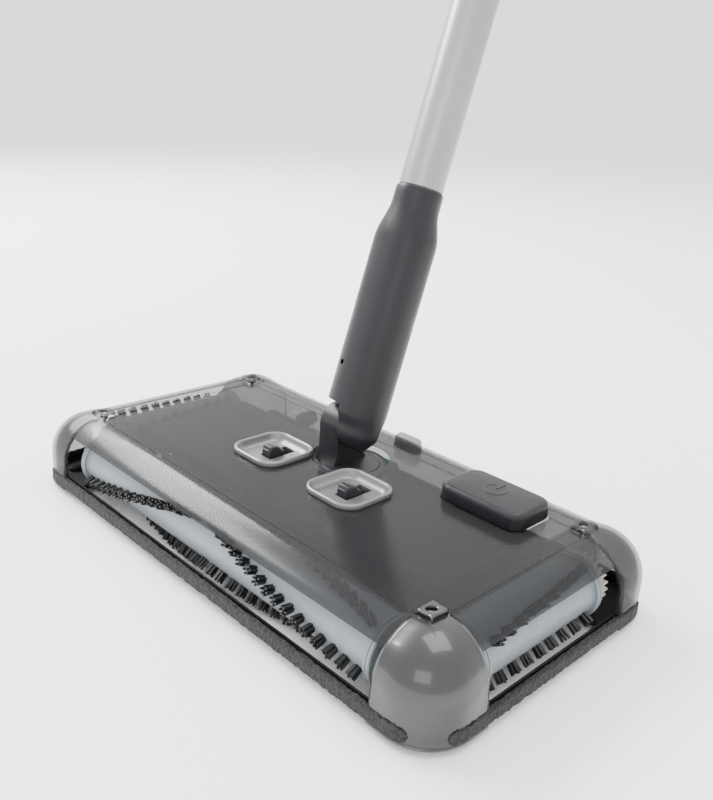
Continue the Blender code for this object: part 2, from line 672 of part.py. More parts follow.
def tuft_blocks(places, root, tip, material, place):
    """Square tufts that stand out from an axis, all in one mesh."""
    mesh = bmesh.new()
    for angle, station in places:
        outward = Vector((math.cos(angle), math.sin(angle), 0))
        sideways = Vector((-math.sin(angle), math.cos(angle), 0))
        corners = [
            outward * radius + TUFT_HALF * (a * sideways + b * Vector((0, 0, 1))) + Vector((0, 0, station))
            for radius in (root, tip) for a, b in ((-1, -1), (1, -1), (1, 1), (-1, 1))
        ]
        foot = [mesh.verts.new(place @ corner) for corner in corners]
        head = foot[4:]
        foot = foot[:4]
        mesh.faces.new(foot[::-1])
        mesh.faces.new(head)
        for k in range(4):
            mesh.faces.new((foot[k], foot[k - 3], head[k - 3], head[k]))
    bmesh.ops.recalc_face_normals(mesh, faces=mesh.faces)
    data = bpy.data.meshes.new("tufts")
    mesh.to_mesh(data)
    mesh.free()
    data.materials.append(material)
    body = bpy.data.objects.new("tufts", data)
    bpy.context.scene.collection.objects.link(body)
    return body


def brush(name, start, end, pitch, row_angle, material, place):
    """Sleeve that slips over a roller core, with rows of square tufts."""
    steps = 24
    sleeve_radius = CORE_RADIUS + SLEEVE_WALL
    bore_radius = (CORE_RADIUS + GAP) / math.cos(math.pi / steps)
    profile = [(sleeve_radius, start), (sleeve_radius, end)]
    bore = [(bore_radius, start), (bore_radius, end)]
    sleeve = turned(name, profile, steps, material, bore, place)
    tip = math.sqrt(BRISTLE_RADIUS ** 2 - TUFT_HALF ** 2)
    root = sleeve_radius * math.cos(math.pi / steps) - TUFT_SINK
    places = tuft_places(start + TUFT_HALF, end - TUFT_HALF, pitch, row_angle)
    return join(sleeve, tuft_blocks(places, root, tip, material, place))


def front_row(share):
    """Rows of the front roller run in a V, so that dirt is swept towards the middle."""
    return FRONT_ROW_START + FRONT_ROW_SWING * (1 - abs(2 * share - 1))


def side_row(share):
    """Rows of a side roller turn slowly and steadily."""
    return SIDE_ROW_START + SIDE_ROW_TURN * share


def roller_core(name, start, end, axle_start, axle_end, material, place):
    """Pale roller core with a stub axle at each end."""
    rim = CORE_RADIUS - 2 * RIM_CHAMFER
    profile = [(AXLE_RADIUS, axle_start), (AXLE_RADIUS, start), (rim, start)]
    profile += [(CORE_RADIUS, start + RIM_CHAMFER), (CORE_RADIUS, end - RIM_CHAMFER)]
    profile += [(rim, end), (AXLE_RADIUS, end), (AXLE_RADIUS, axle_end)]
    return turned(name, profile, 20, material, place=place)


def bevel_gear(name, place, phase, material):
    """Mitre gear whose teeth narrow towards the apex at the place's origin, lying on its +Z side."""
    far = BEVEL_PITCH_RADIUS
    near = far - BEVEL_LENGTH
    outer = toothed(BEVEL_TEETH, far - BEVEL_TOOTH_DEPTH, far + BEVEL_TOOTH_HEIGHT, 0.50, 0.22, phase)
    inner = [(x * near / far, y * near / far) for x, y in outer]
    gear = skin(name, [level(inner, near), level(outer, far)], None, material, None, place)
    return cut(gear, prism("bore", circle(AXLE_RADIUS + GAP, 16), 0, 2 * far, material, place=place))


def spur_gear(name, teeth, phase, low, high, material, place):
    """Straight-cut gear with trapezium teeth."""
    pitch_radius = GEAR_MODULE * teeth / 2
    root = pitch_radius - SPUR_ROOT * GEAR_MODULE
    tip = pitch_radius + SPUR_TIP * GEAR_MODULE
    outline = toothed(teeth, root, tip, SPUR_ROOT_SHARE, SPUR_TIP_SHARE, phase)
    return prism(name, outline, low, high, material, place=place)


def build_rollers(looks):
    """Three brush rollers with bevel gears at the two front corners and a spur gear on the driven side."""
    pale = looks["core"]
    dark = looks["bristle"]
    nylon = looks["gear"]
    front = Matrix.Translation((0, -ROLLER_Y, ROLLER_Z)) @ ALONG_X
    reach = ROLLER_X - (BEVEL_PITCH_RADIUS - BEVEL_LENGTH)
    core = roller_core("front_roller_core", -FRONT_CORE, FRONT_CORE, -reach, reach, pale, front)
    sleeve_end = FRONT_CORE - SLEEVE_MARGIN
    bristles = brush("front_roller_bristles", -sleeve_end, sleeve_end, FRONT_TUFT_PITCH, front_row, dark, front)
    groups = {"front_roller": [core, bristles], "right_roller": [], "left_roller": []}
    half_pitch = math.pi / BEVEL_TEETH
    for name, side in (("left", -1), ("right", 1)):
        apex = Matrix.Translation((side * ROLLER_X, -ROLLER_Y, ROLLER_Z))
        inwards = Matrix.Rotation(-side * math.pi / 2, 4, "Y")
        gear = bevel_gear(f"front_roller_gear_{name}", apex @ inwards, math.pi / 2, nylon)
        groups["front_roller"].append(gear)
        backwards = Matrix.Rotation(-math.pi / 2, 4, "X")
        mate = bevel_gear(f"{name}_roller_gear", apex @ backwards, half_pitch, nylon)
        place = Matrix.Translation((side * ROLLER_X, 0, ROLLER_Z)) @ ALONG_Y
        axle_front = -ROLLER_Y + BEVEL_PITCH_RADIUS - BEVEL_LENGTH
        axle_rear = SPUR_START + SPUR_WIDTH if side > 0 else REAR_POST + POST_THICKNESS
        core = roller_core(
            f"{name}_roller_core", SIDE_CORE_FRONT, SIDE_CORE_REAR, axle_front, axle_rear, pale, place,
        )
        bristles = brush(
            f"{name}_roller_bristles", SIDE_CORE_FRONT + SLEEVE_MARGIN, SIDE_CORE_REAR - SLEEVE_MARGIN,
            SIDE_TUFT_PITCH, side_row, dark, place,
        )
        groups[f"{name}_roller"] += [core, bristles, mate]
    drive = Matrix.Translation((ROLLER_X, SPUR_START, ROLLER_Z)) @ ALONG_Y
    gear = spur_gear("drive_gear", SPUR_TEETH, -math.pi / 2, 0, SPUR_WIDTH, nylon, drive)
    hole = prism("bore", circle(AXLE_RADIUS + GAP, 20), -SPUR_WIDTH, 2 * SPUR_WIDTH, nylon, place=drive)
    groups["right_roller"].append(cut(gear, hole))
    return groups


def build_drive(looks):
    """Motor with its pinion, battery, circuit board, charge jack and power switch."""
    place = Matrix.Translation((MOTOR_X, 0, ROLLER_Z)) @ ALONG_Y
    rear = MOTOR_START + MOTOR_LENGTH
    nose = MOTOR_START - MOTOR_NOSE_LENGTH
    profile = [(MOTOR_NOSE_RADIUS, nose), (MOTOR_NOSE_RADIUS, MOTOR_START)]
    profile += [(MOTOR_RADIUS, MOTOR_START), (MOTOR_RADIUS, rear)]
    bore = [(MOTOR_SHAFT_RADIUS + GAP, nose), (MOTOR_SHAFT_RADIUS + GAP, MOTOR_START + MOTOR_SHAFT_SEAT)]
    motor = turned("motor", profile, 28, looks["motor"], place=place)
    cut(motor, turned("shaft_bore", bore, 12, looks["motor"], place=place))
    phase = math.pi / 2 + math.pi / PINION_TEETH
    steel = looks["steel"]
    pinion = spur_gear("motor_pinion", PINION_TEETH, phase, SPUR_START, SPUR_START + SPUR_WIDTH, steel, place)
    shaft_ends = (SPUR_START + SPUR_WIDTH / 4, MOTOR_START + MOTOR_SHAFT_SEAT - GAP)
    shaft = turned("shaft", [(MOTOR_SHAFT_RADIUS, end) for end in shaft_ends], 12, steel, place=place)
    join(pinion, shaft)
    half = BATTERY_LENGTH / 2
    battery_z = PLATE_HIGH + 0.0025 + BATTERY_RADIUS
    cell = [(BATTERY_RADIUS - RIM_CHAMFER, -half), (BATTERY_RADIUS, -half + RIM_CHAMFER)]
    cell.append((BATTERY_RADIUS, half - RIM_CHAMFER))
    cell += [(BATTERY_RADIUS - 0.001, half), (0.003, half), (0.003, half + 0.0015)]
    cell_place = Matrix.Translation((BATTERY_X, BATTERY_Y, battery_z)) @ ALONG_X
    battery = turned("battery_cell", cell, 28, looks["battery"], place=cell_place)
    board_z = PLATE_HIGH + 0.0005
    board = box("circuit_board", (0.012, 0.048, board_z), (0.050, 0.076, board_z + 0.0016), looks["board"])
    chips = ((0.018, 0.056, 0.026, 0.064), (0.034, 0.054, 0.044, 0.060))
    for x0, y0, x1, y1 in chips:
        join(board, box("chip", (x0, y0, board_z + 0.001), (x1, y1, board_z + 0.004), looks["board"]))
    jack_place = Matrix.Translation((JACK_X, 0, ROLLER_Z)) @ ALONG_Y
    rear = HALF_Y - HOOD_STEP
    shoulder = rear - WALL - JACK_SETBACK
    barrel = [(JACK_RADIUS + 0.001, shoulder - 0.010), (JACK_RADIUS + 0.001, shoulder)]
    barrel += [(JACK_RADIUS, shoulder), (JACK_RADIUS, rear)]
    jack = turned("charge_jack", barrel, 24, looks["chassis"], place=jack_place)
    socket = [(0.0028, rear - 0.009), (0.0028, rear + 0.001)]
    cut(jack, turned("socket", socket, 16, looks["chassis"], place=jack_place))
    x, y = STEM_X, STEM_Y
    low = (x - 0.006, y - 0.004, PLATE_HIGH + GAP)
    switch = box("power_switch", low, (x + 0.006, y + 0.004, SWITCH_TOP), looks["chassis"])
    return [motor, battery, board, jack, switch], pinion


def coil(name, radius, wire, low, high, turns, centre, material):
    """Round wire carried along a helix."""
    steps_per_turn = 9
    steps = turns * steps_per_turn
    rings = []
    rise = high - low - 2 * wire
    for step in range(steps + 1):
        angle = 2 * math.pi * step / steps_per_turn
        height = low + wire + rise * step / steps
        middle = Vector((centre[0] + radius * math.cos(angle), centre[1] + radius * math.sin(angle), height))
        outward = Vector((math.cos(angle), math.sin(angle), 0))
        ring = [middle + wire * (outward * math.cos(a) + Vector((0, 0, 1)) * math.sin(a)) for a in
                (2 * math.pi * k / 5 for k in range(5))]
        rings.append([tuple(point) for point in ring])
    return skin(name, rings, None, material, math.radians(60))


def build_pedal(looks):
    """Foot pedal with its stem, and the return spring round the stem."""
    centre = (PEDAL_X, PEDAL_Y)
    half = (PEDAL_LENGTH / 2, PEDAL_DEPTH / 2)
    outline = rounded(*half, PEDAL_CORNER, centre)
    rings = [level(outline, PEDAL_SKIRT), level(outline, PEDAL_TOP - 0.0030)]
    for inset, drop in ((0.0006, 0.0016), (0.0016, 0.0006), (0.0032, 0.0)):
        outline = rounded(half[0] - inset, half[1] - inset, PEDAL_CORNER - inset, centre)
        rings.append(level(outline, PEDAL_TOP - drop))
    pedal = skin("foot_pedal", rings, None, looks["grey"], math.radians(50))
    stem_centre = (STEM_X, STEM_Y)
    stem_low = SWITCH_TOP + PEDAL_TRAVEL + GAP
    stem = circle(STEM_RADIUS, 16, stem_centre)
    join(pedal, prism("stem", stem, stem_low, PEDAL_SKIRT + 0.001, looks["grey"]))
    spring = coil(
        "pedal_spring", SPRING_RADIUS, SPRING_WIRE, SWITCH_TOP + GAP, PEDAL_SKIRT - GAP, SPRING_TURNS,
        stem_centre, looks["steel"],
    )
    return pedal, spring


def build_wheels(looks):
    """Four small floor wheels, each with a peg on both sides."""
    wheels = {}
    half = WHEEL_WIDTH / 2
    peg = half + WHEEL_CLEARANCE / 2 + PEG_LENGTH - GAP
    profile = [(PEG_RADIUS, -peg), (PEG_RADIUS, -half)]
    profile += [(WHEEL_RADIUS - 0.0006, -half), (WHEEL_RADIUS, -half + 0.0006)]
    profile += [(radius, -height) for radius, height in reversed(profile)]
    for corner, (x, y) in wheel_places().items():
        place = Matrix.Translation((x, y, WHEEL_RADIUS)) @ ALONG_X
        wheels[corner] = turned("wheel_" + corner, profile, 16, looks["rubber"], place=place)
    return wheels


def build_turret(looks):
    """Swivel turret: disc, hub and the lug that carries the pivot pin."""
    place = Matrix.Translation((0, TURRET_Y, 0))
    profile = [(HUB_RADIUS, TURRET_LOW - HUB_DEPTH), (HUB_RADIUS, TURRET_LOW), (TURRET_RADIUS, TURRET_LOW)]
    profile += [(TURRET_RADIUS, TURRET_HIGH - 0.001), (TURRET_RADIUS - 0.001, TURRET_HIGH)]
    turret = turned("swivel_turret", profile, 40, looks["grey"], place=place)
    turns = [math.pi * k / 12 for k in range(13)]
    top = [(LUG_RADIUS * math.cos(turn), PIVOT_HEIGHT + LUG_RADIUS * math.sin(turn)) for turn in turns]
    outline = [(TURRET_Y + y, z) for y, z in top]
    outline += [(TURRET_Y - LUG_RADIUS, TURRET_LOW + 0.001), (TURRET_Y + LUG_RADIUS, TURRET_LOW + 0.001)]
    lug = prism("lug", outline, -LUG_WIDTH, -LAP_GAP / 2, looks["grey"], place=ALONG_X)
    hole = circle(PIN_RADIUS + GAP, 20, (TURRET_Y, PIVOT_HEIGHT))
    join(turret, lug)
    cut(turret, prism("pin_hole", hole, -LUG_WIDTH - GAP, GAP, looks["grey"], place=ALONG_X))
    pin = prism(
        "pivot_pin", circle(PIN_RADIUS, 20, (TURRET_Y, PIVOT_HEIGHT)), -LUG_WIDTH + PIN_SETBACK, PIN_REACH,
        looks["steel"], place=ALONG_X,
    )
    return turret, pin


def ellipse(half_x, half_y, steps=28):
    """Outline of an ellipse."""
    return [(half_x * x, half_y * y) for x, y in circle(1.0, steps)]


def build_handle(looks):
    """Half-lapped neck, three tubes, two couplers and a grip, all along the leaning axis."""
    grey = looks["grey"]
    shoulder = NECK_LENGTH - 0.028
    rings = [(0.0120, 0.0105, -0.0118), (NECK_HALF_WIDTH - 0.002, NECK_HALF_DEPTH - 0.002, -0.0095)]
    rings += [(NECK_HALF_WIDTH, NECK_HALF_DEPTH, -0.0040), (NECK_HALF_WIDTH, NECK_HALF_DEPTH, shoulder)]
    rings += [(NECK_HALF_WIDTH - 0.0010, NECK_HALF_DEPTH - 0.0003, shoulder + 0.007)]
    rings += [(TUBE_RADIUS + 0.0025, TUBE_RADIUS + 0.0015, shoulder + 0.016)]
    rings += [(TUBE_RADIUS + 0.0010, TUBE_RADIUS + 0.0010, NECK_LENGTH - 0.004)]
    rings += [(TUBE_RADIUS + 0.0006, TUBE_RADIUS + 0.0006, NECK_LENGTH)]
    loft = [level(ellipse(a, b), s) for a, b, s in rings]
    neck = skin("handle_neck", loft, None, grey, math.radians(50), LEANING)
    wide = 2 * NECK_HALF_WIDTH
    lap = rectangle((-wide, -wide), (LAP_GAP / 2, wide))
    cut(neck, prism("lap", lap, -wide, NECK_FOOT, grey, place=LEANING))
    centre = (TURRET_Y, PIVOT_HEIGHT)
    room = circle(LUG_RADIUS + LUG_CLEARANCE, 28, centre)
    cut(neck, prism("lug_room", room, -wide, LAP_GAP / 2, grey, place=ALONG_X))
    cut(neck, prism("pin_hole", circle(PIN_RADIUS + GAP, 20, centre), -GAP, 0.0113, grey, place=ALONG_X))
    round_foot = leg_foot(grey)
    combine(neck, round_foot, "INTERSECT")
    spigot_start = NECK_LENGTH - SPIGOT_LENGTH
    spigot = TUBE_BORE
    socket = circle(spigot + GAP, 28)
    cut(neck, prism("tube_socket", socket, spigot_start - GAP, NECK_LENGTH + GAP, grey, place=LEANING))
    parts = [neck]
    start = NECK_LENGTH + GAP
    inner = spigot - TUBE_WALL
    first = [(spigot, spigot_start), (spigot, start), (TUBE_RADIUS, start), (TUBE_RADIUS, start + TUBE_LENGTH)]
    bore = [(inner, spigot_start), (inner, start + 0.002)]
    bore += [(TUBE_BORE, start + 0.002), (TUBE_BORE, start + TUBE_LENGTH)]
    parts.append(turned("handle_tube_1", first, 24, looks["tube"], bore, LEANING))
    for number in range(2, TUBE_COUNT + 1):
        joint = start + TUBE_LENGTH
        start = joint + GAP
        ends = (start, start + TUBE_LENGTH)
        outer = [(TUBE_RADIUS, height) for height in ends]
        bore = [(TUBE_BORE, height) for height in ends]
        parts.append(turned(f"handle_tube_{number}", outer, 24, looks["tube"], bore, LEANING))
        low, high = joint - COUPLER_LENGTH / 2, joint + COUPLER_LENGTH / 2
        radius = TUBE_RADIUS + GAP
        collar = [(radius + COUPLER_WALL, low), (radius + COUPLER_WALL, high)]
        hole = [(radius, height) for _, height in collar]
        parts.append(turned(f"tube_coupler_{number - 1}", collar, 24, grey, hole, LEANING))
    start += TUBE_LENGTH + GAP
    plug = TUBE_BORE - GAP
    grip = [(plug, plug, start - SPIGOT_LENGTH), (plug, plug, start), (0.0140, 0.0140, start)]
    grip += [(0.0150, 0.0145, start + 0.006), (0.0150, 0.0140, start + 0.030), (0.0175, 0.0155, start + 0.070)]
    grip += [(0.0170, 0.0150, start + 0.105), (0.0150, 0.0135, start + 0.122), (0.0105, 0.0095, start + 0.129)]
    grip += [(0.0050, 0.0045, start + GRIP_LENGTH)]
    rings = [level(ellipse(a, b), station) for a, b, station in grip]
    parts.append(skin("hand_grip", rings, None, looks["rubber"], math.radians(50), LEANING))
    return parts


def leg_foot(material):
    """The neck's outline from the side: straight above the pivot and round below it."""
    radius = 0.0118
    wide = 3 * NECK_HALF_WIDTH
    lean = Matrix.Rotation(-LEAN, 4, "X")
    turns = [math.pi + math.pi * k / 14 for k in range(15)]
    arc = [(radius * math.cos(turn), radius * math.sin(turn)) for turn in turns]
    side = [(wide, 0.012), (wide, 2 * NECK_LENGTH), (-wide, 2 * NECK_LENGTH), (-wide, 0.012)]
    outline = []
    for y, z in arc + side:
        turned_point = lean @ Vector((0, y, z))
        outline.append((TURRET_Y + turned_point.y, PIVOT_HEIGHT + turned_point.z))
    return prism("foot", outline, -wide, wide, material, place=ALONG_X)


carried_at = {}


def carrier(name, position, parent):
    """An empty on a joint's axis that carries one moving body."""
    empty = bpy.data.objects.new(name, None)
    empty.empty_display_size = 0.01
    bpy.context.scene.collection.objects.link(empty)
    empty.parent = parent
    empty.location = Vector(position) - (carried_at[parent.name] if parent else Vector((0, 0, 0)))
    carried_at[name] = Vector(position)
    return empty


def carry(empty, pieces):
    """Hang pieces on a carrier, with their meshes shifted so that they stay where they were drawn."""
    for piece in pieces:
        piece.data.transform(Matrix.Translation(-carried_at[empty.name]))
        piece.parent = empty


def clear_scene():
    """Empties the file."""
    for existing in list(bpy.data.objects):
        bpy.data.objects.remove(existing)


def make_looks():
    """One material for each finish."""
    return {
        "smoke": finish("smoked_clear", (0.30, 0.31, 0.33), 0.15, alpha=0.45),
        "satin": finish("satin_grey", (0.16, 0.16, 0.165), 0.30, metallic=0.3),
        "chassis": finish("black_plastic", (0.03, 0.03, 0.033), 0.45),
        "bin": finish("bin_grey", (0.10, 0.105, 0.11), 0.30),
        "bezel": finish("silver_plastic", (0.62, 0.63, 0.64), 0.30, metallic=0.4),
        "grey": finish("grey_plastic", (0.10, 0.10, 0.108), 0.42),
        "core": finish("roller_core_pale", (0.60, 0.64, 0.67), 0.35),
        "bristle": finish("bristle_dark", (0.02, 0.022, 0.026), 0.60),
        "gear": finish("gear_nylon", (0.75, 0.75, 0.72), 0.40),
        "steel": finish("steel", (0.60, 0.60, 0.60), 0.25, metallic=1.0),
        "motor": finish("motor_can", (0.55, 0.55, 0.56), 0.30, metallic=1.0),
        "battery": finish("battery_wrap", (0.05, 0.20, 0.24), 0.40),
        "board": finish("board_green", (0.03, 0.16, 0.08), 0.50),
        "rubber": finish("soft_rubber", (0.05, 0.05, 0.052), 0.75),
        "strip": finish("bumper_charcoal", (0.045, 0.046, 0.048), 0.85),
        "tube": finish("tube_silver", (0.70, 0.71, 0.72), 0.30, metallic=0.6),
    }


def settle(root):
    """Move the whole model so that its origin is the bottom centre of its box."""
    bpy.context.view_layer.update()
    corners = [
        body.matrix_world @ vertex.co
        for body in bpy.data.objects if body.type == "MESH"
        for vertex in body.data.vertices
    ]
    low = Vector(min(point[axis] for point in corners) for axis in range(3))
    high = Vector(max(point[axis] for point in corners) for axis in range(3))
    root.location = (-(low.x + high.x) / 2, -(low.y + high.y) / 2, -low.z)


def build():
    """Makes every piece and hangs it on the carrier it moves with."""
    clear_scene()
    looks = make_looks()
    root = carrier("head", (0, 0, 0), None)
    fixed, pinion = build_drive(looks)
    pedal, spring = build_pedal(looks)
    fixed += [build_chassis(looks), build_cover(looks), spring, *build_caps(looks), *build_bins(looks)]
    fixed += [strip(name + "_bumper_strip", *side, looks["strip"]) for name, side in STRIP_SIDES.items()]
    wells = build_wells(looks)
    fixed += wells[0::2]
    carry(root, fixed)
    for side, lever in zip((-1, 1), wells[1::2]):
        carry(carrier(lever.name + "_axis", (side * WELL_X, WELL_Y, COVER_TOP), root), [lever])
    for side, door in zip((-1, 1), build_doors(looks)):
        carry(carrier(door.name + "_axis", (side * DOOR_OUT, 0, PLATE_MIDDLE), root), [door])
    carry(carrier("pedal_axis", (PEDAL_X, PEDAL_Y, PEDAL_SKIRT), root), [pedal])
    carry(carrier("motor_axis", (MOTOR_X, MOTOR_START, ROLLER_Z), root), [pinion])
    axes = {
        "front_roller": (0, -ROLLER_Y, ROLLER_Z), "left_roller": (-ROLLER_X, 0, ROLLER_Z),
        "right_roller": (ROLLER_X, 0, ROLLER_Z),
    }
    for name, pieces in build_rollers(looks).items():
        carry(carrier(name + "_axis", axes[name], root), pieces)
    for corner, wheel in build_wheels(looks).items():
        x, y = wheel_places()[corner]
        carry(carrier("wheel_axis_" + corner, (x, y, WHEEL_RADIUS), root), [wheel])
    turret = carrier("turret_axis", (0, TURRET_Y, TURRET_HIGH), root)
    carry(turret, build_turret(looks))
    carry(carrier("handle_axis", (0, TURRET_Y, PIVOT_HEIGHT), turret), build_handle(looks))
    settle(root)


build()
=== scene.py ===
"""Builds the visible surfaces of a powered floor sweeper round its packed frame.

Metres, +Z up. Every size comes from the frame's own nodes and joints or from the settings below, and
every surface is a grid of points worked out as whole arrays.
"""

import json
import math

import bmesh
import bpy
import numpy as np
from bpy.props import FloatProperty, FloatVectorProperty, IntProperty, PointerProperty
from mathutils import Matrix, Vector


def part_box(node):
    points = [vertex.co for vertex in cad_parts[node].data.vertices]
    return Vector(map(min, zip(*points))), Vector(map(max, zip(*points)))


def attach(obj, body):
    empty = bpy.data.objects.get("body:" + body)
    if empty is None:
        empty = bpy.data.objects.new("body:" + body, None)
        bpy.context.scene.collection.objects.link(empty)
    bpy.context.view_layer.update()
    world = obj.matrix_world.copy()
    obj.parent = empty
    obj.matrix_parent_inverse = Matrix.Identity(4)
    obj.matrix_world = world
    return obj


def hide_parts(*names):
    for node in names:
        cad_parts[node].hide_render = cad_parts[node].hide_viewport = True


bl_info = {
    "name": "Floor Sweeper Surfaces",
    "version": (1, 0, 0),
    "blender": (4, 5, 0),
    "location": "3D View > Sidebar > Sweeper",
    "description": "Builds the visible surfaces of a floor sweeper round its packed frame",
    "category": "Add Mesh",
}

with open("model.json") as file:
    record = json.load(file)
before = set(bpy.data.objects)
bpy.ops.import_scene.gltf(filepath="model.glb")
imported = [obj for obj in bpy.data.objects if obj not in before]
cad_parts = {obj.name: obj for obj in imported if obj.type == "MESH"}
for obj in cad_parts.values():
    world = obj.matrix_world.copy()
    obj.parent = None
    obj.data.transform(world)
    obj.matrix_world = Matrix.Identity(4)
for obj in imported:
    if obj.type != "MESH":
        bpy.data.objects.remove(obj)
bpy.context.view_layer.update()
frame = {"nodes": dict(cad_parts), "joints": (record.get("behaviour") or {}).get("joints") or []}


def corners_of(node):
    """Lowest and highest corner of a node as arrays."""
    low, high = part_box(node)
    return np.array(low), np.array(high)


def pivot(joint):
    """Where a joint's axis stands."""
    return np.array(next(row["pos_m"] for row in frame["joints"] if row["name"] == joint), float)


HEAD_LOW = corners_of("corner_cap_front_left")[0]
HEAD_HIGH = corners_of("corner_cap_rear_right")[1]
HALF_X, HALF_Y = (HEAD_HIGH - HEAD_LOW)[:2] / 2
HEAD = np.array((0.0, (HEAD_LOW + HEAD_HIGH)[1] / 2, 0.0))
TOP = HEAD_HIGH[2]
FOOT = HEAD_LOW[2]
ROLLER_Z = pivot("front_roller_spin")[2]
EDGE = HALF_X - pivot("right_roller_spin")[0]
CAP_X = corners_of("corner_cap_front_right")[0][0]
CAP_Y = HEAD[1] - corners_of("corner_cap_front_right")[1][1]
COVER_LOW, COVER_HIGH = corners_of("top_cover")
COVER_STEP = HALF_X - COVER_HIGH[0]
COVER_TOP = TOP - COVER_STEP
SCREW_INSET = 0.006
SCREW_HOLE = 0.0026
STRIP_SUNK = 0.0021
SLOT_HALF = 0.0046
SLOT_GAP = 0.0005
SLOT_DEPTH = 0.0118
SLOT_RUN = 0.0064
CAP_GAP = 0.0003
WELL_OVERLAP = 0.0012
WELL_CORNER = 0.0085
PEDAL_GAP = 0.0007
PEDAL_CORNER = 0.0075
TURRET_GAP = 0.0010
JACK_BORE = 0.0043
SIDE_REACH = 0.0105
TAB_LOW = (0.004, 0.056)
TAB_HIGH = (0.022, 0.0635)
TAB_SUNK = 0.0010
TUFT_HALF = 0.0014
PIVOT = pivot("handle_tilt")
MIDDLE_OF_TUBE = sum(corners_of("handle_tube_3")) / 2
ALONG = (MIDDLE_OF_TUBE - PIVOT) / np.linalg.norm(MIDDLE_OF_TUBE - PIVOT)
HANDLE = np.stack([(1.0, 0.0, 0.0), np.cross(ALONG, (1.0, 0.0, 0.0)), ALONG], 1)
ALONG_X = np.array(((0.0, 0.0, 1.0), (1.0, 0.0, 0.0), (0.0, 1.0, 0.0)))
ALONG_Y = np.array(((0.0, 1.0, 0.0), (0.0, 0.0, 1.0), (1.0, 0.0, 0.0)))
UPRIGHT = np.eye(3)


# ---------------------------------------------------------------- settings

def length(name, text, value):
    """A setting that is a length."""
    return FloatProperty(name=name, description=text, default=value, unit="LENGTH")


def tone(name, text, *value):
    """A setting that is a colour."""
    return FloatVectorProperty(name=name, description=text, default=value, subtype="COLOR", size=3)


class SweeperSizes(bpy.types.PropertyGroup):
    """Sizes of the fine shapes."""

    cover_wall: length("Cover wall", "Thickness of the smoked cover", 0.0016)
    cap_wall: length("Cap wall", "Thickness of a corner cap", 0.0020)
    window_edge: length("Hood edge height", "Height of the hoods' lower edge", 0.036)
    band_width: length("Band width", "Width of the band round the top window", 0.0085)
    window_drop: length("Window drop", "How far the window lies below the band", 0.0008)
    core_radius: length("Roller core radius", "Radius of a roller's pale core", 0.0146)
    collar_radius: length("Collar radius", "Radius of the collars at a core's ends", 0.0168)
    strand_radius: length("Strand radius", "Radius of one bristle strand", 0.00088)
    sponge_depth: length("Sponge depth", "Depth of the pores in the bumper strips", 0.0005)
    neck_squareness: FloatProperty(
        name="Neck squareness", description="Power of the neck's outline, 2 is oval", default=2.4)
    tuft_rows: IntProperty(name="Tuft rows", description="Rows of tufts on a roller", default=4)


class SweeperColours(bpy.types.PropertyGroup):
    """Colours of the finishes."""

    smoke: tone("Smoke", "Smoked see-through plastic", 0.022, 0.0225, 0.0238)
    satin: tone("Satin", "Satin corner cap", 0.034, 0.034, 0.0355)
    grey: tone("Grey", "Dark grey handle plastic", 0.015, 0.015, 0.0175)
    bins: tone("Bins", "Dust bin plastic", 0.010, 0.0105, 0.0115)
    silver: tone("Silver", "Pale silver plastic", 0.16, 0.16, 0.165)
    tube: tone("Tube", "Silver painted tube", 0.30, 0.305, 0.31)
    core: tone("Core", "Pale roller core", 0.20, 0.225, 0.245)
    dark: tone("Dark", "Black mouldings and bristles", 0.004, 0.004, 0.0045)
    floor: tone("Floor", "Studio floor", 0.97, 0.97, 0.97)


def sizes():
    return bpy.context.scene.sweeper_sizes


def colours():
    return bpy.context.scene.sweeper_colours


# ---------------------------------------------------------------- shapes

class Shape:
    """Corners and faces as whole arrays, the faces grouped by their number of sides."""

    def __init__(self, corners, *faces):
        self.corners = np.asarray(corners, float).reshape(-1, 3)
        self.faces = [np.asarray(rows, int) for rows in faces if len(rows)]

    def __add__(self, other):
        shifted = [rows + len(self.corners) for rows in other.faces]
        return Shape(np.concatenate((self.corners, other.corners)), *self.faces, *shifted)

    def placed(self, turn=UPRIGHT, shift=(0.0, 0.0, 0.0)):
        """The same shape, each corner turned and then shifted."""
        return Shape(self.corners @ np.asarray(turn).T + shift, *self.faces)

    def copies(self, turns, shifts):
        """One copy for each turn and shift: corner k of copy n is turn n times corner k plus shift n."""
        corners = np.einsum("nij,kj->nki", turns, self.corners) + shifts[:, None]
        step = np.arange(len(shifts))[:, None, None] * len(self.corners)
        faces = [(rows[None] + step).reshape(-1, rows.shape[1]) for rows in self.faces]
        return Shape(corners, *faces)

    def flipped(self):
        """The same faces seen from their other side."""
        return Shape(self.corners, *[rows[:, ::-1] for rows in self.faces])


def weave(points, wrap_rows=False, wrap_columns=True, ends=False):
    """Quads over a grid of points, from point (i, j) to (i + 1, j + 1), round to the first where it wraps."""
    rows, columns, _ = points.shape
    i, j = np.meshgrid(
        np.arange(rows if wrap_rows else rows - 1), np.arange(columns if wrap_columns else columns - 1),
        indexing="ij",
    )
    below = (i + 1) % rows
    right = (j + 1) % columns
    quads = np.stack([i * columns + j, i * columns + right, below * columns + right, below * columns + j], -1)
    faces = [quads.reshape(-1, 4)]
    if ends:
        faces += [np.arange(columns)[None, ::-1], (rows - 1) * columns + np.arange(columns)[None]]
    return Shape(points, *faces)


def rounded(half_x, half_y, radius, steps=8):
    """Rounded rectangle, anticlockwise: four quarter circles, each moved out to its own corner."""
    turn = (np.arange(4)[:, None] + np.linspace(0, 1, steps + 1)) * math.pi / 2
    side = np.array([(1, 1), (-1, 1), (-1, -1), (1, -1)])
    x = side[:, :1] * (half_x - radius) + radius * np.cos(turn)
    y = side[:, 1:] * (half_y - radius) + radius * np.sin(turn)
    return np.stack([x, y], -1).reshape(-1, 2)


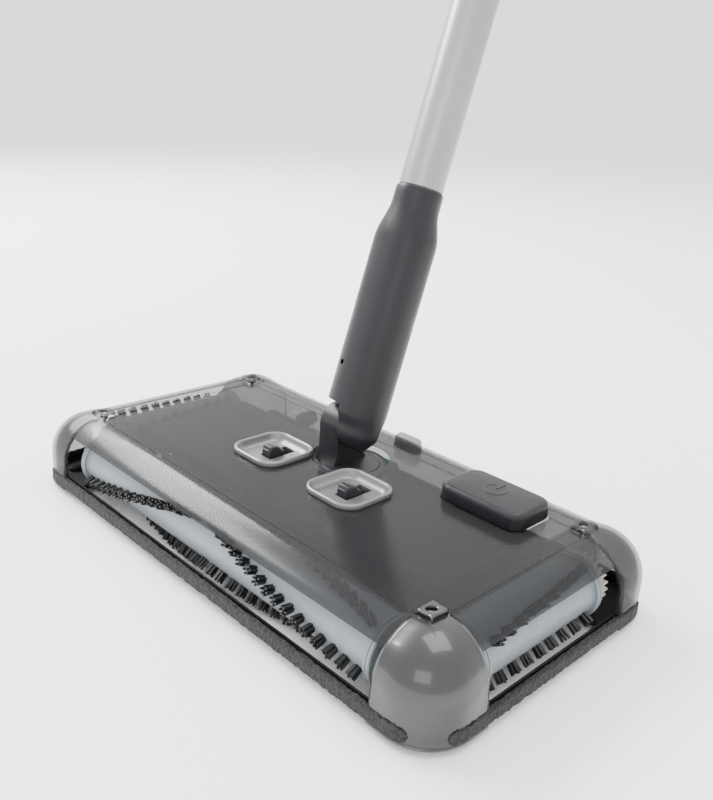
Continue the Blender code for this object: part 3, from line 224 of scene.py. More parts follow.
def oval(half_x, half_y, power=2.0, steps=72):
    """Outline |x/a|^p + |y/b|^p = 1, at even steps of angle."""
    angle = np.linspace(0, 2 * math.pi, steps, endpoint=False)
    c, s = np.cos(angle), np.sin(angle)
    return np.stack([half_x * np.sign(c) * np.abs(c) ** (2 / power),
                     half_y * np.sign(s) * np.abs(s) ** (2 / power)], -1)


def lifted(outlines, heights):
    """Outlines set at heights, as a grid with one row for each."""
    return np.stack([np.column_stack([outline, np.full(len(outline), height)])
                     for outline, height in zip(outlines, heights)])


def prism(outline, low, high):
    """An outline raised from one height to another, with closed ends."""
    return weave(lifted([outline, outline], [low, high]), ends=True)


def block(low, high):
    """A box between two corners."""
    low, high = np.minimum(low, high), np.maximum(low, high)
    x, y = [low[0], high[0], high[0], low[0]], [low[1], low[1], high[1], high[1]]
    return prism(np.column_stack([x, y]), low[2], high[2])


def lathe(profile, steps=64, looped=False):
    """A (radius, height) profile turned about Z; a looped profile makes a ring with a bore."""
    radius, height = np.array(profile, float).T
    angle = np.linspace(0, 2 * math.pi, steps, endpoint=False)[None]
    points = np.stack([radius[:, None] * np.cos(angle), radius[:, None] * np.sin(angle),
                       np.broadcast_to(height[:, None], (len(height), steps))], -1)
    return weave(points, wrap_rows=looped, ends=not looped)


def smooth_step(x, low, high):
    """0 below low, 1 above high, 3t^2 - 2t^3 between."""
    t = np.clip((np.asarray(x, float) - low) / (high - low), 0, 1)
    return t * t * (3 - 2 * t)


def to_mesh(name, shape):
    """A plain mesh of a shape."""
    mesh = bpy.data.meshes.new(name)
    mesh.from_pydata(shape.corners.tolist(), [], [row for rows in shape.faces for row in rows.tolist()])
    return mesh


def tidied(mesh, outwards=True):
    """Merges doubled corners and turns faces outwards."""
    work = bmesh.new()
    work.from_mesh(mesh)
    bmesh.ops.remove_doubles(work, verts=work.verts, dist=1e-6)
    if outwards:
        bmesh.ops.recalc_face_normals(work, faces=work.faces)
    work.to_mesh(mesh)
    work.free()
    return mesh


def carved(name, shape, *tools):
    """A mesh of the shape after one exact Boolean with each tool in turn."""
    mesh = tidied(to_mesh(name, shape))
    for tool in tools:
        body = bpy.data.objects.new(name, mesh)
        other = bpy.data.objects.new("tool", tidied(to_mesh("tool", tool)))
        for item in (body, other):
            bpy.context.scene.collection.objects.link(item)
        step = body.modifiers.new("cut", "BOOLEAN")
        step.operation = "DIFFERENCE"
        step.solver = "EXACT"
        step.object = other
        mesh = bpy.data.meshes.new_from_object(body.evaluated_get(bpy.context.evaluated_depsgraph_get()))
        for item in (body, other):
            bpy.data.objects.remove(item)
    mesh.name = name
    return mesh


def make(name, shape, look, body, replaces=(), sharp=35.0, outwards=True):
    """Turns a shape or a finished mesh into a piece that rides on a body."""
    mesh = shape if isinstance(shape, bpy.types.Mesh) else tidied(to_mesh(name, shape), outwards)
    mesh.shade_smooth()
    mesh.set_sharp_from_angle(angle=math.radians(sharp))
    mesh.materials.clear()
    mesh.materials.append(look)
    piece = bpy.data.objects.new(name, mesh)
    bpy.context.scene.collection.objects.link(piece)
    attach(piece, body)
    if replaces:
        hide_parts(*replaces)
    return piece


# ---------------------------------------------------------------- materials

class Value:
    """A socket that takes part in Python expressions; each operator adds one Math node."""

    def __init__(self, look, socket):
        self.look = look
        self.socket = socket

    def maths(self, operation, first, second):
        return self.look.add("ShaderNodeMath", {"operation": operation}, {0: first, 1: second})

    def __add__(self, other):
        return self.maths("ADD", self, other)

    def __radd__(self, other):
        return self.maths("ADD", other, self)

    def __sub__(self, other):
        return self.maths("SUBTRACT", self, other)

    def __rsub__(self, other):
        return self.maths("SUBTRACT", other, self)

    def __mul__(self, other):
        return self.maths("MULTIPLY", self, other)

    def __rmul__(self, other):
        return self.maths("MULTIPLY", other, self)

    def __pow__(self, other):
        return self.maths("POWER", self, other)


class Look:
    """One material. Every node comes from add(): its type, its settings, then its sockets."""

    def __init__(self, name):
        self.material = bpy.data.materials.new(name)
        self.material.use_nodes = True
        self.tree = self.material.node_tree
        self.shader = self.tree.nodes["Principled BSDF"]
        self.place = self.add("ShaderNodeTexCoord", output="Object")

    def add(self, kind, settings=None, sockets=None, output=0):
        node = self.tree.nodes.new(kind)
        for key, value in (settings or {}).items():
            if key == "stops":
                for stop, (position, shade) in zip(self.stops(node, len(value)), value):
                    stop.position = position
                    stop.color = (*shade, 1.0)
            else:
                setattr(node, key, value)
        self.feed(node, sockets or {})
        return Value(self, node.outputs[output])

    def stops(self, node, count):
        """The ramp's stops, topped up to a count."""
        while len(node.color_ramp.elements) < count:
            node.color_ramp.elements.new(0.5)
        return node.color_ramp.elements

    def feed(self, node, sockets):
        for key, value in sockets.items():
            if isinstance(value, Value):
                self.tree.links.new(value.socket, node.inputs[key])
            else:
                node.inputs[key].default_value = value

    def noise(self, scale, detail=3.0, roughness=0.5, stretch=(1.0, 1.0, 1.0)):
        """Noise at a scale in cycles a metre, stretched along the axes."""
        place = self.add("ShaderNodeMapping", None, {"Vector": self.place, "Scale": stretch})
        return self.add("ShaderNodeTexNoise", None, {
            "Vector": place, "Scale": scale, "Detail": detail, "Roughness": roughness,
        })

    def cells(self, scale):
        """Distance to the nearest of a cloud of points."""
        return self.add("ShaderNodeTexVoronoi", {"feature": "F1"}, {"Vector": self.place, "Scale": scale})

    def blend(self, share, first, second):
        """A colour between two, by a share from 0 to 1."""
        return self.add("ShaderNodeMix", {"data_type": "RGBA"}, {
            "Factor": share, 6: self.colour(first), 7: self.colour(second),
        }, output=2)

    @staticmethod
    def colour(value):
        return value if isinstance(value, Value) else (*value, 1.0)

    def bumps(self, height, strength, distance):
        sockets = {"Height": height, "Strength": strength, "Distance": distance}
        return self.add("ShaderNodeBump", None, sockets)

    def finish(self, **sockets):
        """Feeds the Principled shader; a name's underscores stand for spaces."""
        self.feed(self.shader, {key.replace("_", " "): value for key, value in sockets.items()})
        return self.material


def shade(colour, factor):
    """A colour made lighter or darker."""
    return tuple(min(1.0, part * factor) for part in colour)


def smoked(name, cover, roughness=0.13):
    """Smoked moulding: a grey glaze that lets part of the light through, with faint flow marks and dust."""
    look = Look(name)
    tint = colours().smoke
    flow = look.noise(9.0, 2.0, stretch=(1.0, 2.5, 1.0))
    dust = look.noise(1400.0, 2.0, 0.7)
    scratch = look.noise(260.0, 3.0, 0.6, stretch=(0.12, 1.0, 1.0))
    rim = look.add("ShaderNodeLayerWeight", None, {"Blend": 0.30}, output="Facing")
    return look.finish(
        Base_Color=look.blend(flow, shade(tint, 0.82), shade(tint, 1.22)),
        Roughness=roughness + 0.05 * scratch + 0.03 * dust,
        Specular_IOR_Level=0.5, IOR=1.30,
        Alpha=cover + 0.10 * (flow - 0.5) + (0.85 - cover) * (rim ** 2.2),
        Normal=look.bumps(flow, 0.05, 0.001),
    )


def satin_paint():
    """Satin grey paint: fine metal flake under a soft coat, a little darker in its hollows."""
    look = Look("satin_paint")
    paint = colours().satin
    flake = look.noise(5200.0, 1.0, 0.5)
    cloud = look.noise(30.0, 3.0)
    return look.finish(
        Base_Color=look.blend(cloud, shade(paint, 0.9), shade(paint, 1.1)),
        Roughness=0.27 + 0.07 * cloud + 0.05 * flake, Metallic=0.85,
        Coat_Weight=0.8, Coat_Roughness=0.10,
        Normal=look.bumps(flake, 0.02, 0.0002),
    )


def grained(name, colour, roughness, grain, depth):
    """Moulded plastic: a spark-eroded grain in relief, slow colour drift and rubbed shiny patches."""
    look = Look(name)
    fine = look.noise(grain, 2.0, 0.6)
    drift = look.noise(22.0, 3.0)
    rubbed = smooth_patch(look, 55.0)
    return look.finish(
        Base_Color=look.blend(drift, shade(colour, 0.86), shade(colour, 1.16)),
        Roughness=roughness + 0.10 * (fine - 0.5) - 0.08 * rubbed, Specular_IOR_Level=0.24,
        Normal=look.bumps(fine, depth, 0.0004),
    )


def smooth_patch(look, scale):
    """Islands of 1 in a field of 0."""
    return look.add("ShaderNodeMapRange", {"interpolation_type": "SMOOTHSTEP"}, {
        "Value": look.noise(scale, 2.0), "From Min": 0.55, "From Max": 0.68,
    })


def sponge():
    """Open-pored charcoal rubber: pits of two sizes, greyer on the worn high spots."""
    look = Look("sponge_rubber")
    pits = look.cells(620.0)
    pores = look.cells(1500.0)
    lumps = look.noise(420.0, 4.0, 0.7)
    height = 0.7 * pits + 0.3 * pores + 0.5 * lumps
    # height mask: painted shade makes the colour darker in the pits and pores and greyer on the high spots; the
    # same mask makes the high spots less rough, as wear
    wear_and_pit_shade = look.add("ShaderNodeMapRange", None, {"Value": height, "From Min": 0.35, "From Max": 0.85})
    return look.finish(
        Base_Color=look.blend(wear_and_pit_shade, (0.002, 0.002, 0.0022), (0.016, 0.0163, 0.017)),
        Roughness=0.92 - 0.12 * wear_and_pit_shade, Normal=look.bumps(height, 0.9, 0.0012),
    )


def silver_paint(name, colour, metallic):
    """Silver lacquer: flake that sparkles finely, brushed very lightly along Z."""
    look = Look(name)
    flake = look.noise(3800.0, 1.0)
    brushed = look.noise(900.0, 2.0, stretch=(1.0, 1.0, 0.02))
    cloud = look.noise(14.0, 2.0)
    return look.finish(
        Base_Color=look.blend(cloud, shade(colour, 0.94), shade(colour, 1.05)),
        Roughness=0.30 + 0.06 * flake + 0.05 * brushed, Metallic=metallic,
        Coat_Weight=0.25, Coat_Roughness=0.15,
        Normal=look.bumps(brushed + 0.5 * flake, 0.04, 0.0002),
    )


def core_plastic():
    """Pale blue-grey polypropylene with a waxy sheen, moulding streaks and lint dust."""
    look = Look("core_plastic")
    pale = colours().core
    streak = look.noise(40.0, 3.0, stretch=(1.0, 1.0, 6.0))
    lint = smooth_patch(look, 330.0)
    return look.finish(
        Base_Color=look.blend(0.6 * streak + 0.25 * lint, shade(pale, 0.85), shade(pale, 1.2)),
        Roughness=0.36 + 0.12 * streak, Normal=look.bumps(streak, 0.05, 0.0005),
    )


def nylon_bristle():
    """Dark nylon strands, a little greyer where the tips have worn."""
    look = Look("nylon_bristle")
    strand = look.noise(1900.0, 2.0)
    dark = colours().dark
    return look.finish(
        Base_Color=look.blend(strand, shade(dark, 0.6), shade(dark, 1.7)),
        Roughness=0.42 + 0.2 * strand, Normal=look.bumps(strand, 0.15, 0.0002),
    )


def worked_metal(name, colour, roughness=0.28, stretch=(1.0, 1.0, 1.0)):
    """Bare metal with drawing marks."""
    look = Look(name)
    marks = look.noise(700.0, 3.0, stretch=stretch)
    return look.finish(
        Base_Color=look.blend(marks, shade(colour, 0.8), shade(colour, 1.1)), Metallic=1.0,
        Roughness=roughness + 0.15 * (marks - 0.5), Normal=look.bumps(marks, 0.06, 0.0002),
    )


def board_lacquer():
    """Green circuit board with copper tracks under the lacquer."""
    look = Look("board_lacquer")
    tracks = look.add("ShaderNodeTexBrick", {"offset": 0.37, "squash": 0.7, "squash_frequency": 3}, {
        "Vector": look.place, "Scale": 160.0, "Mortar Size": 0.012, "Mortar Smooth": 0.2,
    }, output="Fac")
    cloud = look.noise(90.0, 2.0)
    green = look.blend(cloud, (0.012, 0.09, 0.04), (0.02, 0.14, 0.06))
    return look.finish(
        Base_Color=look.blend(tracks, green, (0.20, 0.30, 0.10)),
        Roughness=0.35 + 0.15 * cloud, Normal=look.bumps(tracks, 0.2, 0.0002),
    )


def battery_wrap():
    """Shrink sleeve of a cell: petrol blue, lighter along its wrinkles."""
    look = Look("battery_wrap")
    wrinkle = look.noise(300.0, 3.0, stretch=(4.0, 1.0, 1.0))
    return look.finish(
        Base_Color=look.blend(wrinkle, (0.015, 0.07, 0.09), (0.04, 0.16, 0.19)),
        Roughness=0.30 + 0.15 * wrinkle, Normal=look.bumps(wrinkle, 0.12, 0.0004),
    )


LOOKS = {}


def look(name):
    """The finished material of a name, made once."""
    makers = {
        "smoke": lambda: smoked("smoked_cover", 0.52),
        "smoke_cap": lambda: smoked("smoked_cap", 0.58, 0.16),
        "satin": satin_paint,
        "grey": lambda: grained("grey_plastic", colours().grey, 0.40, 2300.0, 0.07),
        "black": lambda: grained("black_plastic", colours().dark, 0.50, 1800.0, 0.20),
        "bins": lambda: grained("bin_plastic", colours().bins, 0.30, 1500.0, 0.01),
        "rubber": lambda: grained("soft_rubber", shade(colours().dark, 1.6), 0.72, 2100.0, 0.30),
        "nylon": lambda: grained("gear_nylon", (0.62, 0.62, 0.58), 0.40, 1500.0, 0.06),
        "silver": lambda: silver_paint("silver_plastic", colours().silver, 0.45),
        "tube": lambda: silver_paint("tube_paint", colours().tube, 0.55),
        "core": core_plastic,
        "bristle": nylon_bristle,
        "sponge": sponge,
        "steel": lambda: worked_metal("plain_steel", (0.52, 0.52, 0.53)),
        "motor": lambda: worked_metal("motor_can", (0.45, 0.45, 0.46), 0.34, (1.0, 0.05, 1.0)),
        "battery": battery_wrap,
        "board": board_lacquer,
    }
    if name not in LOOKS:
        LOOKS[name] = makers[name]()
    return LOOKS[name]


KEPT_NODES = {
    "black": ("base_chassis", "dust_door_left", "dust_door_right", "charge_jack", "power_switch"),
    "bins": ("dust_bin_left", "dust_bin_right"),
    "nylon": ("drive_gear", "front_roller_gear_left", "front_roller_gear_right", "left_roller_gear",
              "right_roller_gear"),
    "steel": ("pedal_spring", "pivot_pin", "motor_pinion"),
    "motor": ("motor",),
    "battery": ("battery_cell",),
    "board": ("circuit_board",),
}


# ---------------------------------------------------------------- pieces of the head

def dome_rows(margin, foot, arc_steps):
    """Rings of the head's rounded box, drawn in by a margin: a wall, then a quarter circle up to the top."""
    radius = EDGE - margin
    angle = np.linspace(0, math.pi / 2, arc_steps)
    inset = np.concatenate([[0.0], radius * (1 - np.cos(angle))])
    height = np.concatenate([[foot], ROLLER_Z + radius * np.sin(angle)])
    corner = np.maximum(radius - inset, 0.0004)
    outlines = [rounded(HALF_X - margin - i, HALF_Y - margin - i, c, 3) for i, c in zip(inset, corner)]
    return outlines, list(height)


def cover_shape():
    """The cover's outside: the head's dome with a fine groove, a flat band and a sunk window on top."""
    outlines, heights = dome_rows(COVER_STEP, COVER_LOW[2], 26)
    groove = 0.0004
    band = EDGE - COVER_STEP + sizes().band_width
    drop = sizes().window_drop
    steps = (
        (EDGE - COVER_STEP + groove, 0.0), (EDGE - COVER_STEP + 2 * groove, -groove),
        (EDGE - COVER_STEP + 3 * groove, -groove), (EDGE - COVER_STEP + 4 * groove, 0.0),
        (band, 0.0), (band + drop / 3, -drop / 4), (band + drop / 2, -drop), (band + drop, -drop),
    )
    for inset, rise in steps:
        outlines.append(rounded(HALF_X - COVER_STEP - inset, HALF_Y - COVER_STEP - inset, 0.0004, 3))
        heights.append(COVER_TOP + rise)
    return weave(lifted(outlines, heights), ends=True)


def shaft_through(node, gap):
    """Half sizes of a node with a gap round it, and a function that raises an outline through the cover there."""
    low, high = corners_of(node)
    middle = (low + high) / 2 - HEAD
    place = (*middle[:2], 0)
    return (high - low) / 2 + gap, lambda outline: prism(outline, TOP / 2, TOP * 2).placed(shift=place)


def build_cover():
    """Shells the dome, opens the corners, windows, wells, pedal and turret, and adds the rear tab."""
    wall = sizes().cover_wall
    outlines, heights = dome_rows(COVER_STEP + wall, COVER_LOW[2] - wall, 26)
    hollow = weave(lifted(outlines, heights), ends=True)
    far = 2 * HALF_X
    corners = None
    for x in (-1, 1):
        for y in (-1, 1):
            low = np.array((x * (CAP_X - CAP_GAP), y * (CAP_Y - CAP_GAP), -far))
            corner = block(low, (x * far, y * far, far))
            corners = corner if corners is None else corners + corner
    edge = sizes().window_edge
    reach = CAP_X - 0.0004
    openings = block((-reach, -far, -far), (reach, -(HALF_Y - EDGE), edge))
    strip_top = corners_of("rear_bumper_strip")[1][2] + CAP_GAP
    openings += block((-reach, HALF_Y - EDGE, -far), (reach, far, strip_top))
    rear = corners_of("right_roller_bristles")[1][1] - HEAD[1] + SIDE_REACH
    for side in (-1, 1):
        openings += block((side * (HALF_X - EDGE), -CAP_Y - 0.0002, -far), (side * far, rear, edge))
    half, shaft = shaft_through("foot_pedal", PEDAL_GAP)
    wells = shaft(rounded(half[0], half[1], PEDAL_CORNER))
    for name in ("well_bezel_left", "well_bezel_right"):
        half, shaft = shaft_through(name, -WELL_OVERLAP)
        wells += shaft(rounded(half[0], half[0], WELL_CORNER))
    half, shaft = shaft_through("swivel_turret", TURRET_GAP)
    turret = shaft(oval(half[0], half[0]))
    low, high = corners_of("charge_jack")
    middle = (low + high) / 2 - HEAD
    tube = prism(oval(JACK_BORE, JACK_BORE, steps=32), -0.01, 0.02)
    openings += tube.placed(ALONG_Y, (middle[0], high[1] - HEAD[1], middle[2]))
    mesh = carved("top_cover_shell", cover_shape(), hollow, corners, openings, wells, turret)
    tab = rounded_tab((*TAB_LOW, COVER_TOP - TAB_SUNK), (*TAB_HIGH, COVER_HIGH[2]))
    mesh.transform(Matrix.Translation(HEAD))
    piece = make("top_cover_shell", mesh, look("smoke"), "head", ("top_cover",), 25.0)
    weights = piece.modifiers.new("flat faces stay flat", "WEIGHTED_NORMAL")
    weights.keep_sharp = True
    make("rear_tab", tab.placed(shift=HEAD), look("smoke_cap"), "head")


def rounded_tab(low, high):
    """A small upright tab: a rounded rectangle that tapers and rounds off towards its top."""
    low, high = np.array(low), np.array(high)
    half = (high - low) / 2
    rise = np.linspace(0, 1, 12)
    inset = 0.0006 * rise + 0.0012 * (1 - np.sqrt(1 - smooth_step(rise, 0.75, 1.0) ** 2))
    outlines = [rounded(half[0] - i, half[1] - i, 0.0016) for i in inset]
    rows = lifted(outlines, low[2] + (high - low)[2] * rise)
    return weave(rows, ends=True).placed(shift=(*((low + high) / 2)[:2], 0.0))


def cap_shape(side_x, side_y):
    """Outside of a corner cap: an edge profile carried along two straights and the quarter turn between.

    The centre line of the edge runs straight, stands still while the profile turns, and runs straight
    again; the profile is a lip, a wall and a quarter circle. A ring patch from the square between the
    straights to the screw hole closes the top.
    """
    start_x, start_y = CAP_X, CAP_Y + 0.0003
    end_x, end_y = HALF_X - EDGE, HALF_Y - EDGE
    run = 8
    turn = 20
    x = np.concatenate([np.linspace(start_x, end_x, run), np.full(turn - 2, end_x), np.full(run, end_x)])
    y = np.concatenate([np.full(run, end_y), np.full(turn - 2, end_y), np.linspace(end_y, start_y, run)])
    bend = np.linspace(0, math.pi / 2, turn)[1:-1]
    angle = np.concatenate([np.zeros(run), bend, np.full(run, math.pi / 2)])
    arc = np.linspace(0, math.pi / 2, 24)
    lip = np.array([(EDGE + 0.0008, FOOT), (EDGE + 0.0009, FOOT + 0.0007), (EDGE + 0.0004, FOOT + 0.0014),
                    (EDGE + 0.0001, FOOT + 0.0026), (EDGE, FOOT + 0.0040), (EDGE, ROLLER_Z * 0.6)])
    radius = np.concatenate([lip[:, 0], EDGE * np.cos(arc)])[:, None]
    height = np.concatenate([lip[:, 1], ROLLER_Z + EDGE * np.sin(arc)])[:, None]
    dome = np.stack([x + radius * np.sin(angle), y + radius * np.cos(angle),
                     np.broadcast_to(height, (len(height), len(x)))], -1)
    xs, ys = np.linspace(start_x, end_x, run), np.linspace(end_y, start_y, run)
    sides = ((xs, np.full(run, end_y)), (np.full(run, end_x), ys), (xs[::-1], np.full(run, start_y)),
             (np.full(run, start_x), ys[::-1]))
    border = np.concatenate([np.column_stack(side)[:-1] for side in sides])
    hole = np.array((end_x - SCREW_INSET, end_y - SCREW_INSET))
    away = border - hole
    circle = hole + SCREW_HOLE * away / np.linalg.norm(away, axis=1, keepdims=True)
    share = np.linspace(0, 1, 5)[:, None, None]
    flat = border[None] * (1 - share) + circle[None] * share
    patch = np.concatenate([flat, np.full((*flat.shape[:2], 1), TOP)], -1)
    shape = weave(dome, wrap_columns=False) + weave(patch).flipped()
    near = np.minimum(shape.corners[:, 0] - start_x, shape.corners[:, 1] - start_y)
    sink = (TOP - COVER_TOP - 0.0002) * (1 - smooth_step(near, 0.0, 0.009))
    high = smooth_step(shape.corners[:, 2], ROLLER_Z, TOP)
    out = np.maximum(shape.corners[:, :2] - (end_x, end_y), 0)
    reach = np.maximum(np.linalg.norm(out, axis=1, keepdims=True), 1e-6)
    inwards = sink * (1 - high) * (shape.corners[:, 2] > ROLLER_Z * 0.6)
    shape.corners[:, :2] -= out / reach * inwards[:, None]
    shape.corners[:, 2] -= sink * high
    shape = Shape(shape.corners * (side_x, side_y, 1), *shape.faces)
    return shape if side_x * side_y < 0 else shape.flipped()


def build_caps():
    """Corner caps: the near front one in satin paint, the others smoked; and their cross-head screws."""
    for corner, side_x, side_y in (("front_left", -1, -1), ("front_right", 1, -1),
                                   ("rear_left", -1, 1), ("rear_right", 1, 1)):
        painted = corner == "front_right"
        shape = cap_shape(side_x, side_y).placed(shift=HEAD)
        piece = make(
            f"corner_shell_{corner}", shape, look("satin" if painted else "smoke_cap"), "head",
            (f"corner_cap_{corner}",), 40.0, outwards=False,
        )
        wall = piece.modifiers.new("wall", "SOLIDIFY")
        wall.thickness = sizes().cap_wall
        wall.offset = -1.0
        low, high = corners_of(f"corner_screw_{corner}")
        middle = (low + high) / 2
        screw = screw_shape(high[0] - middle[0], high[2] - low[2]).placed(shift=(*middle[:2], low[2]))
        node = f"corner_screw_{corner}"
        make(f"cross_screw_{corner}", screw, look("steel"), "head", (node,), 30.0)


def screw_shape(radius, height):
    """Pan head with a cross recess: the top's height falls where |x| or |y| is small near the middle."""
    angle = np.linspace(0, 2 * math.pi, 64, endpoint=False)[None]
    share = np.linspace(1, 0.04, 16)[:, None]
    x, y = radius * share * np.cos(angle), radius * share * np.sin(angle)
    narrow = radius * 0.17
    arm = np.maximum(*(1 - smooth_step(np.abs(side), narrow * 0.7, narrow) for side in (x, y)))
    recess = arm * (1 - smooth_step(share, 0.62, 0.72))
    z = height - 0.0005 * share ** 4 - 0.0009 * recess
    head = np.stack([x, y, z], -1)
    shank = lathe([(radius * 0.5, 0.0), (radius * 0.5, height * 0.6), (radius, height * 0.6)], 64)
    rows = shank.corners.reshape(3, 64, 3)
    return weave(np.concatenate([rows, head]), ends=True)


def strip_shape(name, side_x, side_y, seed):
    """Bumper strip: a rounded profile carried along an edge and a little way round both corners.

    Station s runs straight for the edge's length and then turns about the corner's centre. The profile
    shrinks to a round end over its own half height, and seeded noise presses pores into it.
    """
    low, high = corners_of(f"{name}_bumper_strip")
    along_x = side_x == 0
    straight = (HALF_X if along_x else HALF_Y) - EDGE
    base = (HALF_Y if along_x else HALF_X) - EDGE
    ends = (high - low)[0 if along_x else 1] / 2
    if along_x:
        outer = (high[1] - HEAD[1] if side_y > 0 else HEAD[1] - low[1]) - base
    else:
        outer = high[0] - base if side_x > 0 else -low[0] - base
    inner = EDGE - STRIP_SUNK
    reach = straight + outer * math.asin(min(1.0, (ends - straight) / outer))
    half_height = (high[2] - low[2]) / 2
    half_depth = (outer - inner) / 2
    count = round(2 * reach / 0.0011)
    s = np.sin(np.linspace(-1, 1, count) * math.pi / 2)
    s = reach * (0.25 * s + 0.75 * np.linspace(-1, 1, count))
    over = np.clip((np.abs(s) - (reach - half_height)) / half_height, 0, 1)
    shrink = np.sqrt(np.maximum(1 - over ** 2, 0.0016))
    outline = rounded(half_depth, half_height, half_depth * 0.8, 6)
    profile = outline[None] * np.stack([0.45 + 0.55 * shrink, shrink], -1)[:, None]
    noise = np.random.default_rng(seed).random((count, len(outline)))
    noise = 0.5 * noise + 0.25 * np.roll(noise, 1, 1) + 0.25 * np.roll(noise, 1, 0)
    profile *= 1 - sizes().sponge_depth * noise[..., None] / half_depth * (shrink[:, None, None] > 0.3)
    radius = inner + half_depth + profile[..., 0]
    angle = (np.sign(s) * np.maximum(np.abs(s) - straight, 0) / outer)[:, None]
    run = np.clip(s, -straight, straight)[:, None]
    across = run + radius * np.sin(angle)
    out = base + radius * np.cos(angle)
    z = (low[2] + high[2]) / 2 + profile[..., 1]
    points = (across, side_y * out, z) if along_x else (side_x * out, across, z)
    return weave(np.stack(np.broadcast_arrays(*points), -1), ends=True).placed(shift=HEAD)


def build_strips():
    """The four bumper strips."""
    edges = (("front", 0, -1), ("rear", 0, 1), ("left", -1, 0), ("right", 1, 0))
    for seed, (name, side_x, side_y) in enumerate(edges):
        shape = strip_shape(name, side_x, side_y, seed)
        node = f"{name}_bumper_strip"
        make(f"{name}_sponge_strip", shape, look("sponge"), "head", (node,), 80.0)


def bezel_shape(low, high):
    """Well with a raised rim: rounded squares from under the floor, out round the rim and down the dish."""
    outer = (high - low)[0] / 2
    rim = high[2]
    under = low[2]
    offsets = [-0.0120, -0.0030, -0.0026, -0.0026, -0.0002, 0.0, 0.0, -0.0002, -0.0007, -0.0013, -0.0019,
               -0.0024, -0.0027, -0.0034, -0.0046, -0.0062, -0.0085, -0.0120, -0.0160]
    heights = [under, under, under + 0.0002, rim - 0.0028, rim - 0.0028, rim - 0.0026, rim - 0.0011,
               rim - 0.0005, rim - 0.0001, rim, rim - 0.0003, rim - 0.0012, rim - 0.0022, rim - 0.0034,
               rim - 0.0043, rim - 0.0048, rim - 0.0050, rim - 0.0050, rim - 0.0050]
    outlines = [rounded(outer + d, outer + d, max(0.0105 + d, 0.0012), 10) for d in offsets]
    return weave(lifted(outlines, heights), ends=True)


def lever_shape(name, side):
    """Thumb wedge: rounded sections along Y whose top rises, runs level and slopes away in fine ribs."""
    low, high = corners_of(name)
    width = 0.0080
    outer = high[0] if side > 0 else -low[0]
    middle = outer - width / 2
    share = np.linspace(0, 1, 34)
    depth = (high - low)[1]
    foot = high[2] - 0.0088
    top = high[2] - 0.0040 * smooth_step(share, 0.50, 1.0) - 0.0022 * (1 - smooth_step(share, 0.0, 0.16))
    top = top - 0.00022 * (1 - np.cos(share * 12 * math.pi)) * smooth_step(share, 0.35, 0.45)
    half = width / 2 * (0.82 + 0.18 * smooth_step(share, 0, 0.12) - 0.10 * smooth_step(share, 0.8, 1.0))
    outlines = [rounded(w, (t - foot) / 2, 0.0013, 5) for w, t in zip(half, top)]
    rows = np.stack([
        np.column_stack([line[:, 0], np.full(len(line), low[1] + depth * s), line[:, 1] + (t + foot) / 2])
        for line, s, t in zip(outlines, share, top)
    ])
    knob = weave(rows, ends=True).placed(shift=(side * middle, 0, 0))
    inner = low[0] if side > 0 else high[0]
    bar_top = foot + 0.0008
    slide = block((inner, low[1], bar_top - 0.0014), (side * middle, low[1] + 0.005, bar_top))
    leg = block((inner, low[1], low[2]), (inner + side * 0.0055, low[1] + 0.005, bar_top - 0.0016))
    return knob + slide + leg


def build_wells():
    """Bezels with their dishes, and the release levers in them."""
    for name, side in (("left", -1), ("right", 1)):
        low, high = corners_of(f"well_bezel_{name}")
        middle = (low + high) / 2
        lever_low = corners_of(f"release_lever_{name}")[0]
        slide = next(row for row in frame["joints"] if row["name"] == f"{name}_lever_slide")
        travel = SLOT_RUN * np.array(slide["axis"], float)
        slot_low = np.array((middle[0] - SLOT_HALF, lever_low[1] - SLOT_GAP, 0.0))
        slot_high = np.array((middle[0] + SLOT_HALF, lever_low[1] + SLOT_DEPTH, TOP * 2))
        slot = block(slot_low + np.minimum(travel, 0), slot_high + np.maximum(travel, 0))
        shape = bezel_shape(low, high).placed(shift=(middle[0], middle[1], 0))
        make(f"well_dish_{name}", carved("dish", shape, slot), look("silver"), "head",
             (f"well_bezel_{name}",), 40.0)
        make(f"thumb_lever_{name}", lever_shape(f"release_lever_{name}", side), look("grey"), f"{name}_lever",
             (f"release_lever_{name}",), 50.0)


def pedal_shape():
    """Pedal: a rounded slab with a rolled edge and a slightly crowned top."""
    low, high = corners_of("foot_pedal")
    half = (high - low) / 2
    skirt = high[2] - 0.0105
    roll = 0.0030
    angle = np.linspace(0, math.pi / 2, 10)
    flat = np.linspace(roll, half[1] - 0.0008, 10)[1:]
    inset = np.concatenate([[0.0008, 0.0], roll * (1 - np.cos(angle)), flat])
    crown = 0.0005
    top = high[2] - 0.0004
    across = np.linspace(0, 1, 10)[1:]
    height = np.concatenate([[skirt, skirt + 0.001], top - crown - roll * (1 - np.sin(angle)),
                             top - crown * (1 - across) ** 2])
    outlines = [rounded(half[0] - i, half[1] - i, max(0.0072 - 0.6 * i, 0.0004), 8) for i in inset]
    middle = (low + high) / 2
    return weave(lifted(outlines, height), ends=True).placed(shift=(middle[0], middle[1], 0)), middle, top


def bead(path, radius, height):
    """A half-round bead along an open path: x across, z up by height times the sine."""
    turn = np.linspace(0, math.pi, 9)
    ahead = np.gradient(path, axis=0)
    ahead /= np.linalg.norm(ahead, axis=1, keepdims=True)
    across = np.stack([ahead[:, 1], -ahead[:, 0]], -1)
    flat = path[:, None] + radius * np.cos(turn)[None, :, None] * across[:, None]
    rise = np.broadcast_to(height * np.sin(turn) ** 0.6, flat.shape[:2])[..., None]
    return weave(np.concatenate([flat, rise - 0.0004], -1), ends=True)


